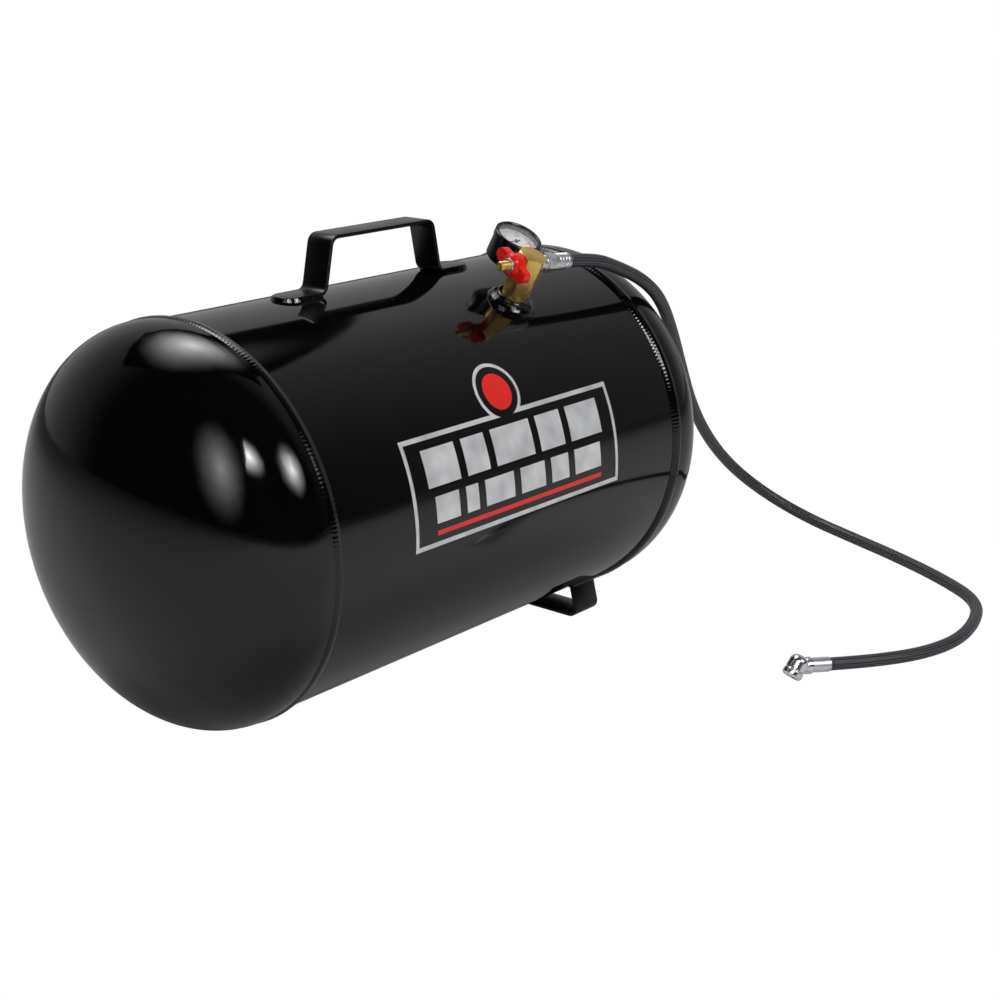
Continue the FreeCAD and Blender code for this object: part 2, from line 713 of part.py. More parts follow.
def make_hose_end():
    """The hose fitting in its port, and the crimped ferrule behind it."""
    at = valve_frame() * place(0, 0, "port_height", ALONG_X)
    nut_start = "block_r + 6.5"
    nut_end = f"{nut_start} + nut_length"
    nut = padded("fitting_nut", "XY_Plane", hexagon("nut_flats"), "nut_length", place(0, 0, nut_start),
                 middle=False)
    turning = turned("fitting_turning", [
        ("0", "3.2"),
        ("hose_port_bore / 2 - running_fit", "3.2"),
        ("hose_port_bore / 2 - running_fit", "block_r"),
        ("6", "block_r"),
        ("6", nut_start),
        ("nut_flats / 2 - 0.1", nut_start),
        ("nut_flats / 2 - 0.1", nut_end),
        ("0", nut_end),
    ])
    bore = solid("Cylinder", "fitting_bore", place(0, 0, 2), Radius=2.5, Height="block_r + nut_length + 6.5")
    fitting = cut("hose_fitting", fuse("fitting_solid", nut, turning), bore)
    fitting.Placement = at
    keep(fitting, "hose_fitting")
    start = size(nut_end)
    profile = ferrule_profile(start, size("ferrule_length"), size("ferrule_r"))
    keep(turned("hose_ferrule", profile, at), "hose_ferrule")


def ferrule_profile(start, length, radius):
    """A crimped sleeve: a collar, then shallow crimp rings."""
    points = [("2.5", str(start)), (str(radius), str(start))]
    rings = 4
    pitch = (length - 6) / rings
    for ring in range(rings):
        low = start + 3 + ring * pitch
        points += [(str(radius), str(low + 0.3)), (str(radius - 0.5), str(low + 0.8)),
                   (str(radius - 0.5), str(low + pitch - 0.8)), (str(radius), str(low + pitch - 0.3))]
    points += [(str(radius), str(start + length - 0.8)), (str(radius - 0.6), str(start + length)),
               ("2.5", str(start + length))]
    return points


# ---------------------------------------------------------------- gauge

def gauge_frame():
    """Frame of the gauge: Z out of its face, -Y towards the valve block."""
    level = "gauge_port_height + gauge_face"
    at = place("gauge_offset / 2", "gauge_offset * cos(30)", level, FreeCAD.Rotation(Z_WAY, -30))
    return valve_frame() * at


SOCKET_Z = "-gauge_face"
SECTOR_TEETH = 76
PINION_TEETH = 10
MODULE = 0.25
SECTOR_SWING = 35.526
SECTOR_SIDE = 20
TAIL = 4


def make_gauge_shell():
    at = gauge_frame()
    case = turned("gauge_case", [
        ("0", "case_back"),
        ("case_r - 1", "case_back"),
        ("case_r", "case_back + 1"),
        ("case_r", "-2"),
        ("case_inner", "-2"),
        ("case_inner", "case_back + case_wall"),
        ("0", "case_back + case_wall"),
    ], at)
    bored(case, "socket_hole", place(0, 0, SOCKET_Z, FreeCAD.Rotation(X_WAY, 90)),
          "socket_neck / 2 + running_fit", "case_diameter")
    keep(case, "gauge_case")
    keep(turned("gauge_bezel", [
        ("case_r + fit_gap", "-6"),
        ("bezel_r", "-6"),
        ("bezel_r", "-0.7"),
        ("bezel_r - 0.7", "0"),
        ("bezel_r - 2.2", "0"),
        ("bezel_r - 2.7", "-0.5"),
        ("bezel_r - 2.7", "-1.6"),
        ("case_r + fit_gap", "-1.6"),
    ], at), "gauge_bezel")
    lens_at = at * place(0, 0, "-1.7 - lens_thickness")
    keep(solid("Cylinder", "gauge_lens", lens_at, Radius="case_inner - 0.1", Height="lens_thickness"),
         "gauge_lens")
    dial = solid("Cylinder", "dial_disc", place(0, 0, -7), Radius="case_inner - 0.4", Height=0.5)
    dial_hole = solid("Cylinder", "dial_hole", place(0, 0, -8), Radius=1.3, Height=2)
    dial_cut = cut("gauge_dial", dial, dial_hole)
    dial_cut.Placement = at
    keep(dial_cut, "gauge_dial")


def make_socket():
    """The brass shank between valve block and gauge, with the tube's foot in it."""
    back = FreeCAD.Rotation(X_WAY, 90)
    reach = size("gauge_offset - block_r")
    shank = turned("socket_turning", [
        ("0", "case_inner - 1.5"),
        ("socket_neck / 2", "case_inner - 1.5"),
        ("socket_neck / 2", "case_r + 1.2"),
        ("4.6", "case_r + 1.2"),
        ("4.6", str(reach - 0.1)),
        ("gauge_port_bore / 2 - running_fit", str(reach - 0.1)),
        ("gauge_port_bore / 2 - running_fit", str(reach + 7.8)),
        ("0", str(reach + 7.8)),
    ], place(0, 0, SOCKET_Z, back))
    nut = solid("Box", "socket_flats", place(-5.5, f"-({reach - 1})", f"{SOCKET_Z} - 5.5"), Length=11,
                Width=f"{reach - 1} - case_r - 1.4", Height=11)
    block = solid("Box", "socket_block", place(-4.5, "-case_inner + 0.8", -21), Length=9, Width=10.6,
                  Height=5.5)
    riser = solid("Box", "socket_riser", place(-4.5, "-case_inner + 0.8", -21), Length=9, Width=2.1, Height=13)
    drill = solid("Cylinder", "socket_drill", place(0, "-14", SOCKET_Z, back), Radius=1.2, Height=40)
    socket = cut("gauge_socket", fuse("socket_solid", shank, nut, block, riser), drill)
    socket.Placement = gauge_frame()
    keep(socket, "gauge_socket")


def make_bourdon():
    """The curved tube that straightens under pressure."""
    tube = solid("Torus", "bourdon_tube", Radius1=13, Radius2=1.6)
    tube.Angle3 = 226.5
    tube.Placement = gauge_frame() * place(0, 0, -19, FreeCAD.Rotation(Z_WAY, 293.5))
    keep(tube, "bourdon_tube")


def sector_pivot():
    spread = MODULE * (SECTOR_TEETH + PINION_TEETH) / 2
    angle = math.radians(180 + SECTOR_SIDE)
    return FreeCAD.Vector(spread * math.cos(angle), spread * math.sin(angle), 0)


def make_movement():
    """Two brass plates on three pillars, which also carry the dial."""
    pivot = sector_pivot()
    low = solid("Cylinder", "plate_low", place(0, 0, -15.5), Radius=13, Height=1)
    high = solid("Cylinder", "plate_high", place(0, 0, -9.5), Radius=13, Height=0.8)
    pillars = []
    for index, (x, y) in enumerate(((9, 5), (5, -9), (-6, 9.5))):
        pillars.append(solid("Cylinder", f"pillar_{index}", place(x, y, -15.2), Radius=0.9, Height=8.2))
    holes = [
        solid("Cylinder", "pinion_bearing", place(0, 0, -16), Radius=0.65, Height=8),
        solid("Cylinder", "sector_bearing", place(pivot.x, pivot.y, -16), Radius=0.85, Height=8),
    ]
    movement = cut("gauge_movement", fuse("movement_solid", low, high, *pillars), *holes)
    movement.Placement = gauge_frame()
    keep(movement, "gauge_movement")


def tooth(pitch_radius, angle, thickness):
    """One straight-sided gear tooth, as a prism from below the pitch circle."""
    half = math.pi * MODULE / 4 * 0.7
    inner = pitch_radius - MODULE * 1.1
    outer = pitch_radius + MODULE * 0.8
    corners = [(inner, -half * 1.3), (outer, -half * 0.5), (outer, half * 0.5), (inner, half * 1.3)]
    points = [FreeCAD.Vector(x, y, 0) for x, y in corners]
    face = Part.Face(Part.makePolygon(points + points[:1]))
    prism = face.extrude(FreeCAD.Vector(0, 0, thickness))
    prism.rotate(FreeCAD.Vector(), Z_WAY, angle)
    return prism


def make_pinion():
    """The pointer's arbor with its ten-tooth pinion."""
    radius = MODULE * PINION_TEETH / 2
    hub = Part.makeCylinder(radius - MODULE, 2)
    for index in range(PINION_TEETH):
        hub = hub.fuse(tooth(radius, 227 + 360 / PINION_TEETH * index, 2))
    hub.translate(FreeCAD.Vector(0, 0, -13))
    arbor = Part.makeCylinder(0.6, 9.9, FreeCAD.Vector(0, 0, -15.3))
    pinion = doc.addObject("Part::Feature", "gauge_pinion")
    pinion.Shape = hub.fuse(arbor).removeSplitter()
    pinion.Placement = gauge_frame()
    keep(pinion, "gauge_pinion")


def make_sector():
    """The toothed sector, its arbor, and the tail that the link pulls."""
    radius = MODULE * SECTOR_TEETH / 2
    pitch = 360 / SECTOR_TEETH
    half_span = 6 * pitch
    fan = Part.makeCylinder(radius - MODULE, 1.4, FreeCAD.Vector(), Z_WAY, 2 * half_span)
    fan.rotate(FreeCAD.Vector(), Z_WAY, -half_span)
    for index in range(-6, 6):
        fan = fan.fuse(tooth(radius, (index + 0.5) * pitch, 1.4))
    window = Part.makeCylinder(radius - 3, 2, FreeCAD.Vector(0, 0, -0.3), Z_WAY, 2 * half_span - 24)
    window.rotate(FreeCAD.Vector(), Z_WAY, 12 - half_span)
    fan = fan.cut(window.cut(Part.makeCylinder(3, 3, FreeCAD.Vector(0, 0, -1))))
    tail = Part.makeBox(TAIL, 1.8, 1.4, FreeCAD.Vector(-TAIL, -0.9, 0))
    eye = Part.makeCylinder(0.9, 1.4, FreeCAD.Vector(-TAIL, 0, 0))
    eye_hole = Part.makeCylinder(0.5, 3, FreeCAD.Vector(-TAIL, 0, -1))
    arbor = Part.makeCylinder(0.8, 6, FreeCAD.Vector(0, 0, -2.5))
    whole = fan.fuse([tail, eye, arbor]).cut(eye_hole).removeSplitter()
    sector = doc.addObject("Part::Feature", "gauge_sector")
    sector.Shape = whole
    turn = FreeCAD.Rotation(Z_WAY, SECTOR_SIDE - SECTOR_SWING / 2)
    pivot = sector_pivot()
    sector.Placement = gauge_frame() * place(pivot.x, pivot.y, -12.7, turn)
    keep(sector, "gauge_sector")


def make_link():
    """The bar from the tip of the curved tube to the tail of the sector."""
    angle = math.radians(180 + SECTOR_SIDE - SECTOR_SWING / 2)
    tail = sector_pivot() + FreeCAD.Vector(TAIL * math.cos(angle), TAIL * math.sin(angle), 0)
    tip = FreeCAD.Vector(13 * math.cos(math.radians(161)), 13 * math.sin(math.radians(161)), 0)
    run = tip - tail
    bar = Part.makeBox(run.Length, 1.2, 0.6, FreeCAD.Vector(0, -0.6, 0))
    ends = [Part.makeCylinder(0.9, 0.6), Part.makeCylinder(0.9, 0.6, FreeCAD.Vector(run.Length, 0, 0))]
    pin = Part.makeCylinder(0.45, 5.8)
    link = doc.addObject("Part::Feature", "gauge_link")
    link.Shape = bar.fuse(ends + [pin]).removeSplitter()
    turn = FreeCAD.Rotation(Z_WAY, math.degrees(math.atan2(run.y, run.x)))
    link.Placement = gauge_frame() * place(tail.x, tail.y, -17.2, turn)
    keep(link, "gauge_link")


def make_pointer():
    """A slim pointer with a short tail, pressed on the end of its arbor."""
    outline_points = [("13.5", "0.15"), ("13.5", "-0.15"), ("1.2", "-0.7"), ("-4", "-0.9"), ("-4", "0.9"),
                      ("1.2", "0.7")]
    blade = padded("pointer_blade", "XY_Plane", outline_points, "0.4", place(0, 0, -5.7), middle=False)
    cap = solid("Cylinder", "pointer_cap", place(0, 0, -5.9), Radius=1.6, Height=1)
    hole = solid("Cylinder", "pointer_hole", place(0, 0, -6.5), Radius=0.62, Height=1.2)
    pointer = cut("gauge_pointer", fuse("pointer_solid", blade, cap), hole)
    pointer.Placement = gauge_frame() * FreeCAD.Placement(FreeCAD.Vector(), FreeCAD.Rotation(Z_WAY, 215))
    keep(pointer, "gauge_pointer")


# ---------------------------------------------------------------- hose and chuck

def make_hose():
    """One tube along straight runs joined by tangent arcs."""
    radius = size("hose_diameter / 2")
    points = [FreeCAD.Vector(*point) for point in HOSE_ROUTE]
    edges = []
    last = points[0]
    length = 0
    radii = []
    for before, corner, after in zip(points, points[1:], points[2:]):
        back = (before - corner).normalize()
        on = (after - corner).normalize()
        trim = 0.45 * min((before - corner).Length, (after - corner).Length)
        turn = math.pi - back.getAngle(on)
        bend = trim / math.tan(turn / 2)
        radii.append(round(bend))
        enter = corner + back * trim
        leave = corner + on * trim
        bisector = (back + on).normalize()
        middle = corner + bisector * (bend / math.cos(turn / 2) - bend)
        edges.append(Part.LineSegment(last, enter).toShape())
        edges.append(Part.Arc(enter, middle, leave).toShape())
        length += (enter - last).Length + bend * turn
        last = leave
    edges.append(Part.LineSegment(last, points[-1]).toShape())
    length += (points[-1] - last).Length
    start_way = points[1] - points[0]
    section = Part.Wire(Part.makeCircle(radius, points[0], start_way))
    hose = doc.addObject("Part::Feature", "hose")
    hose.Shape = Part.Wire(edges).makePipeShell([section], True, False)
    expected = math.pi * radius ** 2 * length
    print("hose length", round(length, 1), "volume ratio", round(hose.Shape.Volume / expected, 5))
    print("hose radii", radii)
    hose.Placement = FreeCAD.Placement()
    keep(hose, "hose")


def hose_tip_frame():
    """Frame at the far end of the hose, Z along it."""
    end = FreeCAD.Vector(*HOSE_ROUTE[-1])
    way = (end - FreeCAD.Vector(*HOSE_ROUTE[-2])).normalize()
    return FreeCAD.Placement(end, FreeCAD.Rotation(Z_WAY, way))


def make_chuck():
    """Angled tyre chuck: body, mouth collar, seal, and the pin with its spring."""
    tip = hose_tip_frame()
    sleeve_r = "chuck_ferrule_diameter / 2"
    keep(turned("chuck_ferrule", [
        ("2.5", "0"),
        (f"{sleeve_r} - 0.4", "0"),
        (sleeve_r, "0.5"),
        (sleeve_r, "chuck_ferrule_length"),
        ("2.5", "chuck_ferrule_length"),
    ], tip), "chuck_ferrule")
    middle = tip.multVec(FreeCAD.Vector(0, 0, size("chuck_ferrule_length + 5 + chuck_r")))
    mouth = FreeCAD.Vector(*CHUCK_MOUTH_WAY).normalize()
    head_at = FreeCAD.Placement(middle, FreeCAD.Rotation(Z_WAY, mouth))
    head = turned("chuck_head", [
        ("0", "-chuck_back"),
        ("chuck_r", "-chuck_back"),
        ("chuck_r", "chuck_front"),
        ("0", "chuck_front"),
    ], head_at)
    back = size("-chuck_back")
    rounded(head, "chuck_dome", "chuck_r * 0.72", lambda centre, box: near(centre.z, back))
    neck_end = "chuck_ferrule_length + chuck_neck_length"
    neck = turned("chuck_neck", [
        ("0", "chuck_ferrule_length"),
        ("chuck_neck_diameter / 2 - 0.8", "chuck_ferrule_length"),
        ("chuck_neck_diameter / 2", "chuck_ferrule_length + 1"),
        ("chuck_neck_diameter / 2", f"{neck_end} - 1"),
        ("chuck_neck_diameter / 2 - 0.8", neck_end),
        ("5.6", neck_end),
        ("5.6", "chuck_ferrule_length + 5 + chuck_r"),
        ("0", "chuck_ferrule_length + 5 + chuck_r"),
    ], tip)
    room = solid("Cylinder", "chuck_room", head_at * place(0, 0, "-chuck_back + 3"), Radius=6,
                 Height="chuck_back + chuck_front")
    inlet = solid("Cylinder", "chuck_inlet", tip * place(0, 0, "chuck_ferrule_length - 1"), Radius=2,
                  Height="6 + chuck_r")
    keep(cut("chuck_body", fuse("chuck_solid", head, neck), room, inlet), "chuck_body")
    keep(turned("chuck_collar", [
        ("6", "chuck_front + fit_gap"),
        ("chuck_r - 0.5", "chuck_front + fit_gap"),
        ("chuck_r - 0.5", "chuck_front + 1"),
        ("chuck_r + 0.3", "chuck_front + 1.6"),
        ("chuck_r + 0.3", "chuck_front + 5.6"),
        ("chuck_r - 1.2", "chuck_front + 7"),
        ("chuck_mouth / 2", "chuck_front + 7"),
        ("chuck_mouth / 2", "chuck_front + 5.5"),
        ("6", "chuck_front + 5.5"),
    ], head_at), "chuck_collar")
    keep(turned("chuck_seal", [
        ("chuck_mouth / 2 - 0.4", "chuck_front + 0.5"),
        ("5.9", "chuck_front + 0.5"),
        ("5.9", "chuck_front + 5.4"),
        ("chuck_mouth / 2 - 0.4", "chuck_front + 5.4"),
    ], head_at), "chuck_seal")
    keep(turned("chuck_pin", [
        ("0", "chuck_front - 6"),
        ("5.6", "chuck_front - 6"),
        ("5.6", "chuck_front - 4.4"),
        ("1.3", "chuck_front - 4.4"),
        ("1.3", "chuck_front + 3.8"),
        ("1", "chuck_front + 4.2"),
        ("0", "chuck_front + 4.2"),
    ], head_at), "chuck_pin")
    rear = size("-chuck_back + 3")
    coil_spring("chuck_spring", 4, 0.45, rear + 0.5, size("chuck_front - 6") - rear - 1, 2, head_at)


def make_label():
    """A thin printed film on the viewer's side of the shell."""
    reach = "label_length / 2"
    spin = FreeCAD.Placement(FreeCAD.Vector(), FreeCAD.Rotation(X_WAY, 180 + size("label_start")))
    at = place(f"-({reach}) - 1.25", 0, "axis_z") * spin
    lie = FreeCAD.Placement(FreeCAD.Vector(), FreeCAD.Rotation(Y_WAY, 90))
    outer = solid("Cylinder", "label_outside", at * lie, Radius="tank_r + fit_gap + label_thickness",
                  Height="label_length", Angle="label_sweep")
    inner = solid("Cylinder", "label_inside", at * lie, Radius="tank_r + fit_gap", Height="label_length")
    keep(cut("label", outer, inner), "label")


make_shell()
make_heads()
make_seam_welds()
make_handle()
make_handle_welds()
make_cross_foot()
make_foot_welds()
make_near_rest()
make_rest_welds()
make_bung()
make_valve_block()
make_spindle()
make_knob()
make_core()
make_hose_end()
make_gauge_shell()
make_socket()
make_bourdon()
make_movement()
make_pinion()
make_sector()
make_link()
make_pointer()
make_hose()
make_chuck()
make_label()
doc.recompute()

for item in doc.Objects:
    if "Invalid" in item.State or "Error" in item.State:
        raise RuntimeError(f"{item.Name} did not build: {item.State}")
for label, item in nodes.items():
    if item.Shape.isNull() or not item.Shape.isValid():
        raise RuntimeError(f"{label} has no valid shape")

os.makedirs("parts", exist_ok=True)
for label, item in nodes.items():
    item.Shape.exportStep(f"parts/{label}.step")
print(len(nodes), "nodes")
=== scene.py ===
# %% [markdown]
# # A portable air receiver in gloss black
#
# The object is a rolled steel tank with two domed heads, a flat-bar handle and
# feet, a brass valve block with a red knob and a round gauge, and a rubber hose
# that ends in an angled tyre chuck. The engineering model is loaded first, with
# one mesh for each of its pieces. A piece that already has its true shape keeps
# its mesh and only gets a finish. A piece that needs softer edges, print or a
# fine pattern is made here, and placed from the loaded model.

# %% Load the frame
import json
import math

import bpy
from mathutils import Matrix, Quaternion, Vector


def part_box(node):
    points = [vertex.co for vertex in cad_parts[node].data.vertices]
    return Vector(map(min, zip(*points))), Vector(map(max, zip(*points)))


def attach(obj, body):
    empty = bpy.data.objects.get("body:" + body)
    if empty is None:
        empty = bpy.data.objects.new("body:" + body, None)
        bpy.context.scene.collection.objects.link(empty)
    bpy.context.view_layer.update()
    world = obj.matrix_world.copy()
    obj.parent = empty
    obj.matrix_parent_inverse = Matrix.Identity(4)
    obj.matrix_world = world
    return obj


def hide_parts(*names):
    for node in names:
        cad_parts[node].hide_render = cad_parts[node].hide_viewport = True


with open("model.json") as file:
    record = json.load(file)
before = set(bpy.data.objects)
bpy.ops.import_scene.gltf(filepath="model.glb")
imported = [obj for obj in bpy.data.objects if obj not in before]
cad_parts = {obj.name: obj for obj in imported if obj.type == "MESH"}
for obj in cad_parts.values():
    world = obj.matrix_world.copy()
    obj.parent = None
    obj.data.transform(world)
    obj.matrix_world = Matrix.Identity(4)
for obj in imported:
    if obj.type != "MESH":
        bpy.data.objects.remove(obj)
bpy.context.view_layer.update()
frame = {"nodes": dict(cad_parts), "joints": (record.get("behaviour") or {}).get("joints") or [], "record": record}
MM = 0.001
nodes = frame["nodes"]
joints = {joint["name"]: joint for joint in frame["joints"]}
bpy.ops.object.select_all(action="DESELECT")

# %% [markdown]
# ## Where things are
# The main sizes are read from the loaded model, so that what is made here fits
# it. The shell gives the tank's radius and the height of its axis.

# %% Tank size
shell_low, shell_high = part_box("shell")
TANK_R = (shell_high.z - shell_low.z) / 2
AXIS_Z = (shell_high.z + shell_low.z) / 2
print("tank radius", round(TANK_R, 4), "axis height", round(AXIS_Z, 4))


# %% [markdown]
# The valve leans on the tank, so what is turned or printed on it is drawn level
# first and then laid into a local frame. The joints give each frame: the knob
# turns about its own axis, and the pointer about the axis of the gauge.

# %% Local frames
def local_frame(origin, out, side):
    """A matrix whose Z is out and whose X leans towards side."""
    z = Vector(out).normalized()
    x = (Vector(side) - z * Vector(side).dot(z)).normalized()
    y = z.cross(x)
    turn = Matrix((x, y, z)).transposed().to_4x4()
    return Matrix.Translation(Vector(origin)) @ turn


PORT_TO_MARK = 17 * MM  # from the middle of the block out to the knob joint's mark
GAUGE_MARK_DEPTH = 12 * MM  # from the gauge's frame down to the pointer joint's mark
knob_axis = Vector(joints["knob_turn"]["axis"])
port_centre = Vector(joints["knob_turn"]["pos_m"]) - knob_axis * PORT_TO_MARK
block_up = Vector(joints["pointer_turn"]["axis"])
knob_frame = local_frame(port_centre, knob_axis, block_up)
gauge_mark = Vector(joints["pointer_turn"]["pos_m"])
gauge_arm = gauge_mark - port_centre
gauge_arm -= block_up * gauge_arm.dot(block_up)
gauge_centre = gauge_mark + block_up * GAUGE_MARK_DEPTH
gauge_right = gauge_arm.cross(block_up)
gauge_frame = local_frame(gauge_centre, block_up, gauge_right)
print("knob axis", [round(c, 3) for c in knob_axis], "gauge faces", [round(c, 3) for c in block_up])

# %% [markdown]
# ## The camera
# A long lens from the near end, a little above the handle, shows the whole tank
# with its near dome large and the hose lying beyond the far end. The camera could
# be turned further to lift the object in the frame, but a small shift does it
# without changing the perspective.

# %% Camera
CAMERA_PLACE = Vector((-1.0186, -0.9661, 0.5708))
CAMERA_AZIMUTH = math.radians(-50.574)
CAMERA_ELEVATION = math.radians(20.14)
CAMERA_ROLL = math.radians(0.257)
SENSOR_MM = 36
LENS_MM = 63.55
SHIFT_SIDE = -0.0018
SHIFT_UP = 0.0875
level = math.cos(CAMERA_ELEVATION)
camera_back = Vector((math.sin(CAMERA_AZIMUTH) * level, -math.cos(CAMERA_AZIMUTH) * level,
                      math.sin(CAMERA_ELEVATION)))
camera_data = bpy.data.cameras.new("product_lens")
camera_data.sensor_width = SENSOR_MM
camera_data.lens = LENS_MM
camera_data.shift_x = SHIFT_SIDE
camera_data.shift_y = SHIFT_UP
camera = bpy.data.objects.new("camera", camera_data)
bpy.context.scene.collection.objects.link(camera)
camera.rotation_mode = "QUATERNION"
camera.location = CAMERA_PLACE
aim = (-camera_back).to_track_quat("-Z", "Y")
camera.rotation_quaternion = aim @ Quaternion((0, 0, 1), CAMERA_ROLL)
bpy.context.scene.camera = camera
print("camera looks along", [round(c, 3) for c in -camera_back])

# %% [markdown]
# ## Helpers for materials
# Colours are given as they look on a screen and turned to linear light by one
# function, because the shader works in linear light. One small function adds a
# shader node with its settings and links, and one starts a finish from the
# Principled shader.

# %% Colour and nodes
scene = bpy.context.scene
scene.view_settings.view_transform = "Standard"


def linear(code):
    """An sRGB hex colour as linear red, green, blue and alpha."""
    shown = [int(code[i:i + 2], 16) / 255 for i in (1, 3, 5)]
    return [c / 12.92 if c <= 0.04045 else ((c + 0.055) / 1.055) ** 2.4 for c in shown] + [1]


def add(tree, kind, settings=None, inputs=None):
    """Add one shader node: settings are its own choices, inputs are values or sockets."""
    made = tree.nodes.new(kind)
    for key, value in (settings or {}).items():
        setattr(made, key, value)
    for key, value in (inputs or {}).items():
        if isinstance(value, bpy.types.NodeSocket):
            tree.links.new(value, made.inputs[key])
        else:
            made.inputs[key].default_value = value
    return made


print("black enamel in linear light:", [round(c, 5) for c in linear("#050506")])


# %% Start of a finish
def new_finish(name, colour, roughness, metallic=0.0, **extra):
    """A material with its Principled shader; extra gives further sockets by name."""
    finish = bpy.data.materials.new(name)
    finish.use_nodes = True
    shader = finish.node_tree.nodes["Principled BSDF"]
    shader.inputs["Base Color"].default_value = linear(colour)
    shader.inputs["Roughness"].default_value = roughness
    shader.inputs["Metallic"].default_value = metallic
    for key, value in extra.items():
        shader.inputs[key.replace("_", " ")].default_value = value
    return finish, finish.node_tree, shader


def plain_finish(name, colour, roughness, metallic=0.0, **extra):
    """A finish that is the same all over, so its nodes are not needed again."""
    return new_finish(name, colour, roughness, metallic, **extra)[0]


print("helpers ready")

# %% [markdown]
# ## Gloss black enamel
# The tank is sprayed and baked in black enamel. It shows a deep, nearly mirror
# reflection, very slightly uneven: the "orange peel" of sprayed paint, a few
# millimetres from crest to crest and only microns high. Peel this low is no
# shape of its own, so it is a bump. Dust and handling make the gloss vary a
# little over some centimetres, which is a second, larger noise on the roughness.

# %% Enamel
ENAMEL_BLACK = "#050506"
DUST_MM = 40
DULLEST, GLOSSIEST = 1.25, 0.8  # the roughness varies between these shares of itself


def make_enamel(name, peel_mm, peel_height_mm, roughness):
    """Black enamel, with the spacing and the height of its peel."""
    finish, tree, shader = new_finish(name, ENAMEL_BLACK, roughness, Specular_IOR_Level=0.5)
    place = add(tree, "ShaderNodeTexCoord").outputs["Object"]
    peel = add(tree, "ShaderNodeTexNoise", {"noise_dimensions": "3D"},
               {"Vector": place, "Scale": 1 / (peel_mm * MM), "Detail": 1.0, "Roughness": 0.4})
    dust = add(tree, "ShaderNodeTexNoise", None,
               {"Vector": place, "Scale": 1 / (DUST_MM * MM), "Detail": 3.0, "Roughness": 0.6})
    haze = add(tree, "ShaderNodeMapRange", None,
               {"Value": dust.outputs["Fac"], "From Min": 0.35, "From Max": 0.7,
                "To Min": roughness * GLOSSIEST, "To Max": roughness * DULLEST})
    bump = add(tree, "ShaderNodeBump", None,
               {"Height": peel.outputs["Fac"], "Strength": 1.0, "Distance": peel_height_mm * MM})
    tree.links.new(haze.outputs["Result"], shader.inputs["Roughness"])
    tree.links.new(bump.outputs["Normal"], shader.inputs["Normal"])
    return finish


# Sprayed on smooth sheet: a black mirror with a faint waviness.
black_enamel = make_enamel("gloss_black_enamel", 5, 0.0035, 0.07)
# Sprayed over a rough bead: broken, sparkling highlights.
weld_enamel = make_enamel("enamel_over_weld", 2.4, 0.22, 0.1)
# A thinner coat on rolled bar: a wide soft sheen.
bar_enamel = make_enamel("satin_black_enamel", 1.2, 0.006, 0.26)
print("enamels made:", black_enamel.name, weld_enamel.name, bar_enamel.name)


# %% [markdown]
# The two beads that run round the tank were laid by a machine, so they carry one
# ripple after another at an even pitch. The ripples could be cut in the mesh, but
# there are some three hundred to a turn, a few hundredths of a millimetre high. A
# sine of the angle about the tank's axis draws them, with a little noise in it so
# that they are not quite regular.

# %% Enamel over the seam beads
WOBBLE_MM = 7
WOBBLE_RADIANS = 4.0


def make_seam_enamel(name, pitch_mm, height_mm):
    """Enamel over a weld bead that runs round the tank: one ripple for each pitch."""
    finish, tree, shader = new_finish(name, ENAMEL_BLACK, 0.1, Specular_IOR_Level=0.5)
    place = add(tree, "ShaderNodeTexCoord").outputs["Object"]
    parts = add(tree, "ShaderNodeSeparateXYZ", None, {"Vector": place})
    height = add(tree, "ShaderNodeMath", {"operation": "SUBTRACT"},
                 {0: parts.outputs["Z"], 1: AXIS_Z})
    angle = add(tree, "ShaderNodeMath", {"operation": "ARCTAN2"},
                {0: parts.outputs["Y"], 1: height.outputs[0]})
    count = add(tree, "ShaderNodeMath", {"operation": "MULTIPLY"},
                {0: angle.outputs[0], 1: 2 * math.pi * round(TANK_R / (pitch_mm * MM))})
    wobble = add(tree, "ShaderNodeTexNoise", None,
                 {"Vector": place, "Scale": 1 / (WOBBLE_MM * MM), "Detail": 2.0})
    shifted = add(tree, "ShaderNodeMath", {"operation": "MULTIPLY_ADD"},
                  {0: wobble.outputs["Fac"], 1: WOBBLE_RADIANS, 2: count.outputs[0]})
    wave = add(tree, "ShaderNodeMath", {"operation": "SINE"}, {0: shifted.outputs[0]})
    bump = add(tree, "ShaderNodeBump", None,
               {"Height": wave.outputs[0], "Distance": height_mm * MM})
    tree.links.new(bump.outputs["Normal"], shader.inputs["Normal"])
    return finish


# Gloss enamel on an even bead: a row of small bright dashes.
seam_enamel = make_seam_enamel("enamel_over_seam_bead", 3.2, 0.035)
print("seam enamel made")

# %% [markdown]
# ## Metals
# Brass is turned from bar, so it keeps fine tool marks. Zinc plate is bright but
# a little milky. Chrome is a clear mirror. Metals take their colour in their
# reflection, so they are fully metallic. All are one recipe, a fine grain for the
# tool marks and a slow change of tone, with their own colours and sizes.

# %% Metal recipe
TONE_MM = 6
SMOOTHEST, ROUGHEST = 0.7, 1.4  # the grain moves the roughness between these shares


